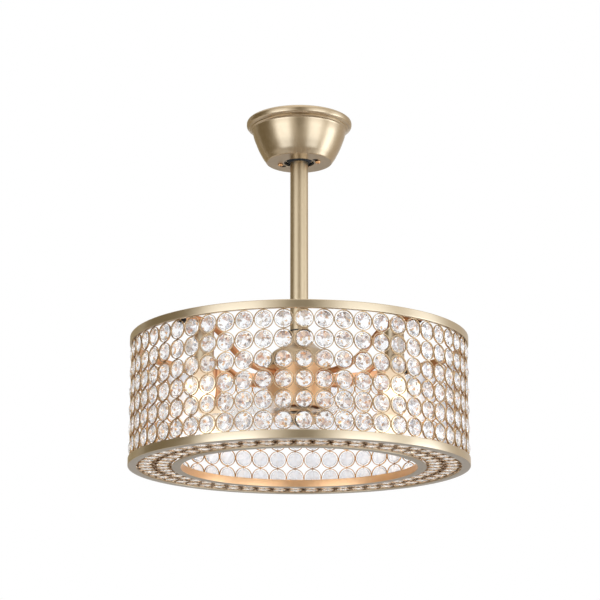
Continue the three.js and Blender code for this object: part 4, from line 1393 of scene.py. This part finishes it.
class CRYSTALFAN_OT_stage(bpy.types.Operator):
    """Set the pale floor, the soft light, the dark cards and the camera"""

    bl_idname = "crystal_fan.stage"
    bl_label = "Stage"

    def execute(self, context):
        stage = context.scene.crystal_fan.stage
        self.add_world(stage)
        self.add_floor(stage)
        self.add_softboxes(stage)
        self.add_bulb_lights(stage)
        self.add_cards(stage)
        self.add_camera()
        context.scene.view_settings.view_transform = "Standard"
        return {"FINISHED"}

    def add_world(self, stage):
        """White where it is seen, mirrored or looked at through glass, softer as a light."""
        world = bpy.data.worlds.new("studio")
        bpy.context.scene.world = world
        recipe = Recipe("studio", world)
        seen, mirrored, through = recipe.node(
            "ShaderNodeLightPath", {}, {},
            ("Is Camera Ray", "Is Glossy Ray", "Is Transmission Ray"))
        shown = seen.at_least(mirrored).at_least(through)
        strength = stage.room_level + shown * (1.0 - stage.room_level)
        background = recipe.node(
            "ShaderNodeBackground", {}, {"Color": (1.0, 1.0, 1.0), "Strength": strength})
        recipe.node("ShaderNodeOutputWorld", {}, {"Surface": background}, ())

    def add_floor(self, stage):
        """A pale round floor that fades out and isn't seen from underneath."""
        fade_from, fade_to = 1.2, 3.4
        recipe = Recipe("pale_floor")
        point = recipe.point()
        x, y, _ = recipe.parts(point)
        speckle = recipe.spread(recipe.noise(point, 9.0, 5.0, 0.6), 0.3, 0.7)
        fine = recipe.noise(point, 260.0)
        paint = recipe.surface({
            "Base Color": recipe.mix(speckle, (0.86, 0.86, 0.855), (0.9, 0.9, 0.895)),
            "Roughness": 0.62 + (fine - 0.5) * 0.2, "Normal": recipe.bump(fine, 0.1, 0.0005)})
        under = recipe.node("ShaderNodeNewGeometry", {}, {}, "Backfacing")
        fade = recipe.spread((x * x + y * y) ** 0.5, fade_from, fade_to).at_least(under)
        recipe.finish(recipe.blend(fade, paint, recipe.see_through((1.0, 1.0, 1.0))))
        points, faces = turned(
            [(0.0, stage.floor_drop), (FLOOR_RADIUS, stage.floor_drop)], SMALL_SEGMENTS,
            closed=False)
        self.add_sheet("floor", points, [tuple(reversed(face)) for face in faces], recipe.owner)

    def add_sheet(self, name, points, faces, material):
        """A flat piece of the stage."""
        mesh = bpy.data.meshes.new(name)
        mesh.from_pydata(points, [], faces)
        mesh.materials.append(material)
        sheet = add_object(name, mesh)
        return sheet

    def add_light(self, name, kind, spot):
        lamp = add_object(name, bpy.data.lights.new(name, kind))
        lamp.location = spot
        lamp.visible_camera = False
        return lamp

    def add_softboxes(self, stage):
        """Tall softboxes, each bright below and dim above, and one overhead."""
        for side, azimuth, width, bright, dim in SOFTBOXES:
            for name, low, high, level in (
                (f"softbox_{side}", LIGHT_LOW, LIGHT_SPLIT, bright),
                (f"softbox_{side}_high", LIGHT_SPLIT, LIGHT_HIGH, dim),
            ):
                tall, height = high - low, (high + low) / 2
                spot = around(SOFTBOX_DISTANCE, math.radians(azimuth), height)
                lamp = self.add_light(name, "AREA", spot)
                lamp.data.shape = "RECTANGLE"
                lamp.data.size, lamp.data.size_y = width, tall
                lamp.data.energy = math.pi * width * tall * stage.softbox_level * level
                lamp.data.color = SOFTBOX_TINT
                aim = Vector((0.0, 0.0, height)) - lamp.location
                lamp.rotation_euler = aim.to_track_quat("-Z", "Y").to_euler()
        lamp = self.add_light("softbox_top", "AREA", TOP_PLACE)
        lamp.data.size = TOP_SIZE
        lamp.data.energy = math.pi * TOP_SIZE * TOP_SIZE * TOP_LEVEL

    def add_bulb_lights(self, stage):
        """The warm light that each bulb casts on the metal round it."""
        for i in range(LAMP_COUNT):
            spot = quarter_turn(i) @ Vector((LAMP_CIRCLE, 0.0, (BULB_LOW + SOCKET_LOW) / 2))
            lamp = self.add_light(f"bulb_light_{i + 1}", "POINT", spot)
            lamp.data.shadow_soft_size = 0.012
            lamp.data.color = (1.0, 0.7, 0.44)
            lamp.data.energy = stage.lamp_watts
            lamp.visible_glossy = False
            lamp.visible_transmission = False

    def add_cards(self, stage):
        """Cards that show only as reflections: in front, at the left, behind and below."""
        dark = stage.card_level
        for name, azimuth, distance, width, low, high, tone, tint in (
            ("card_front", 2.0, 5.0, 2.0, LIGHT_LOW, CARD_HIGH, dark, DARK_TINT),
            ("card_left", -98.0, 3.6, 3.8, LIGHT_LOW, CARD_HIGH, dark * 1.2, DARK_TINT),
            ("card_left_back", -147.0, 3.8, 2.4, LIGHT_LOW, CARD_HIGH, dark * 1.9, DARK_TINT),
            ("card_right_back", 138.0, 3.8, 3.4, LIGHT_LOW, CARD_HIGH, 0.64, PALE_TINT),
            ("card_back_low", 180.0, 3.8, 3.6, LIGHT_LOW, CARD_SPLIT, 0.42, PALE_TINT),
            ("card_back_high", 180.0, 3.8, 3.6, CARD_SPLIT, -0.9, 0.44, PALE_TINT),
        ):
            angle = math.radians(azimuth)
            centre = around(distance, angle, 0.0)
            across = Vector((math.cos(angle), math.sin(angle), 0.0)) * width / 2
            left, right = (centre - across).xy, (centre + across).xy
            self.add_card(name, tone, tint, [
                (*left, low), (*right, low), (*right, high), (*left, high)])
        half, near, far = 4.0, -0.9, -4.0
        self.add_card("card_low", 0.4, PALE_TINT, [
            (-half, far, LIGHT_LOW), (half, far, LIGHT_LOW), (half, near, LIGHT_LOW),
            (-half, near, LIGHT_LOW)])

    def add_card(self, name, tone, tint, corners):
        recipe = Recipe(name)
        weave = recipe.noise(recipe.point(), 3.0, 3.0)
        shade = recipe.mix(weave, shade_of(tint, tone * 0.9), shade_of(tint, tone * 1.1))
        recipe.finish(recipe.node("ShaderNodeEmission", {}, {"Color": shade, "Strength": 1.0}))
        card = self.add_sheet(name, corners, [(0, 1, 2, 3)], recipe.owner)
        for ray in ("camera", "diffuse", "transmission", "volume_scatter", "shadow"):
            setattr(card, f"visible_{ray}", False)

    def add_camera(self):
        data = bpy.data.cameras.new("photo_camera")
        data.lens = CAMERA_LENS
        data.sensor_width = CAMERA_SENSOR
        data.shift_x, data.shift_y = CAMERA_SHIFT
        camera = add_object("photo_camera", data)
        camera.location = CAMERA_PLACE
        camera.rotation_euler = (math.pi / 2 + CAMERA_PITCH, 0.0, 0.0)
        bpy.context.scene.camera = camera


BUILD_STEPS = (
    CRYSTALFAN_OT_stage,
    CRYSTALFAN_OT_canopy,
    CRYSTALFAN_OT_rod,
    CRYSTALFAN_OT_housing,
    CRYSTALFAN_OT_arms,
    CRYSTALFAN_OT_lamps,
    CRYSTALFAN_OT_bands,
    CRYSTALFAN_OT_crystal_wall,
    CRYSTALFAN_OT_underside,
    CRYSTALFAN_OT_blades,
)


class CRYSTALFAN_PT_sidebar(bpy.types.Panel):
    """Settings and build steps of the crystal fan"""

    bl_idname = "CRYSTALFAN_PT_sidebar"
    bl_label = "Crystal fan"
    bl_space_type = "VIEW_3D"
    bl_region_type = "UI"
    bl_category = "Crystal Fan"

    def draw(self, context):
        fan = context.scene.crystal_fan
        for title, group in (("Sizes", fan.sizes), ("Colours", fan.colours), ("Stage", fan.stage)):
            box = self.layout.box()
            box.label(text=title)
            for name in group.__annotations__:
                box.prop(group, name)
        column = self.layout.column(align=True)
        for step in BUILD_STEPS:
            column.operator(step.bl_idname)


CLASSES = (FanSizes, FanColours, FanStage, FanSettings, *BUILD_STEPS, CRYSTALFAN_PT_sidebar)


def register():
    for cls in CLASSES:
        bpy.utils.register_class(cls)
    bpy.types.Scene.crystal_fan = bpy.props.PointerProperty(type=FanSettings)


def unregister():
    del bpy.types.Scene.crystal_fan
    for cls in reversed(CLASSES):
        bpy.utils.unregister_class(cls)


def main():
    register()
    for step in BUILD_STEPS:
        group, name = step.bl_idname.split(".")
        getattr(getattr(bpy.ops, group), name)()


if __name__ == "__main__":
    main()
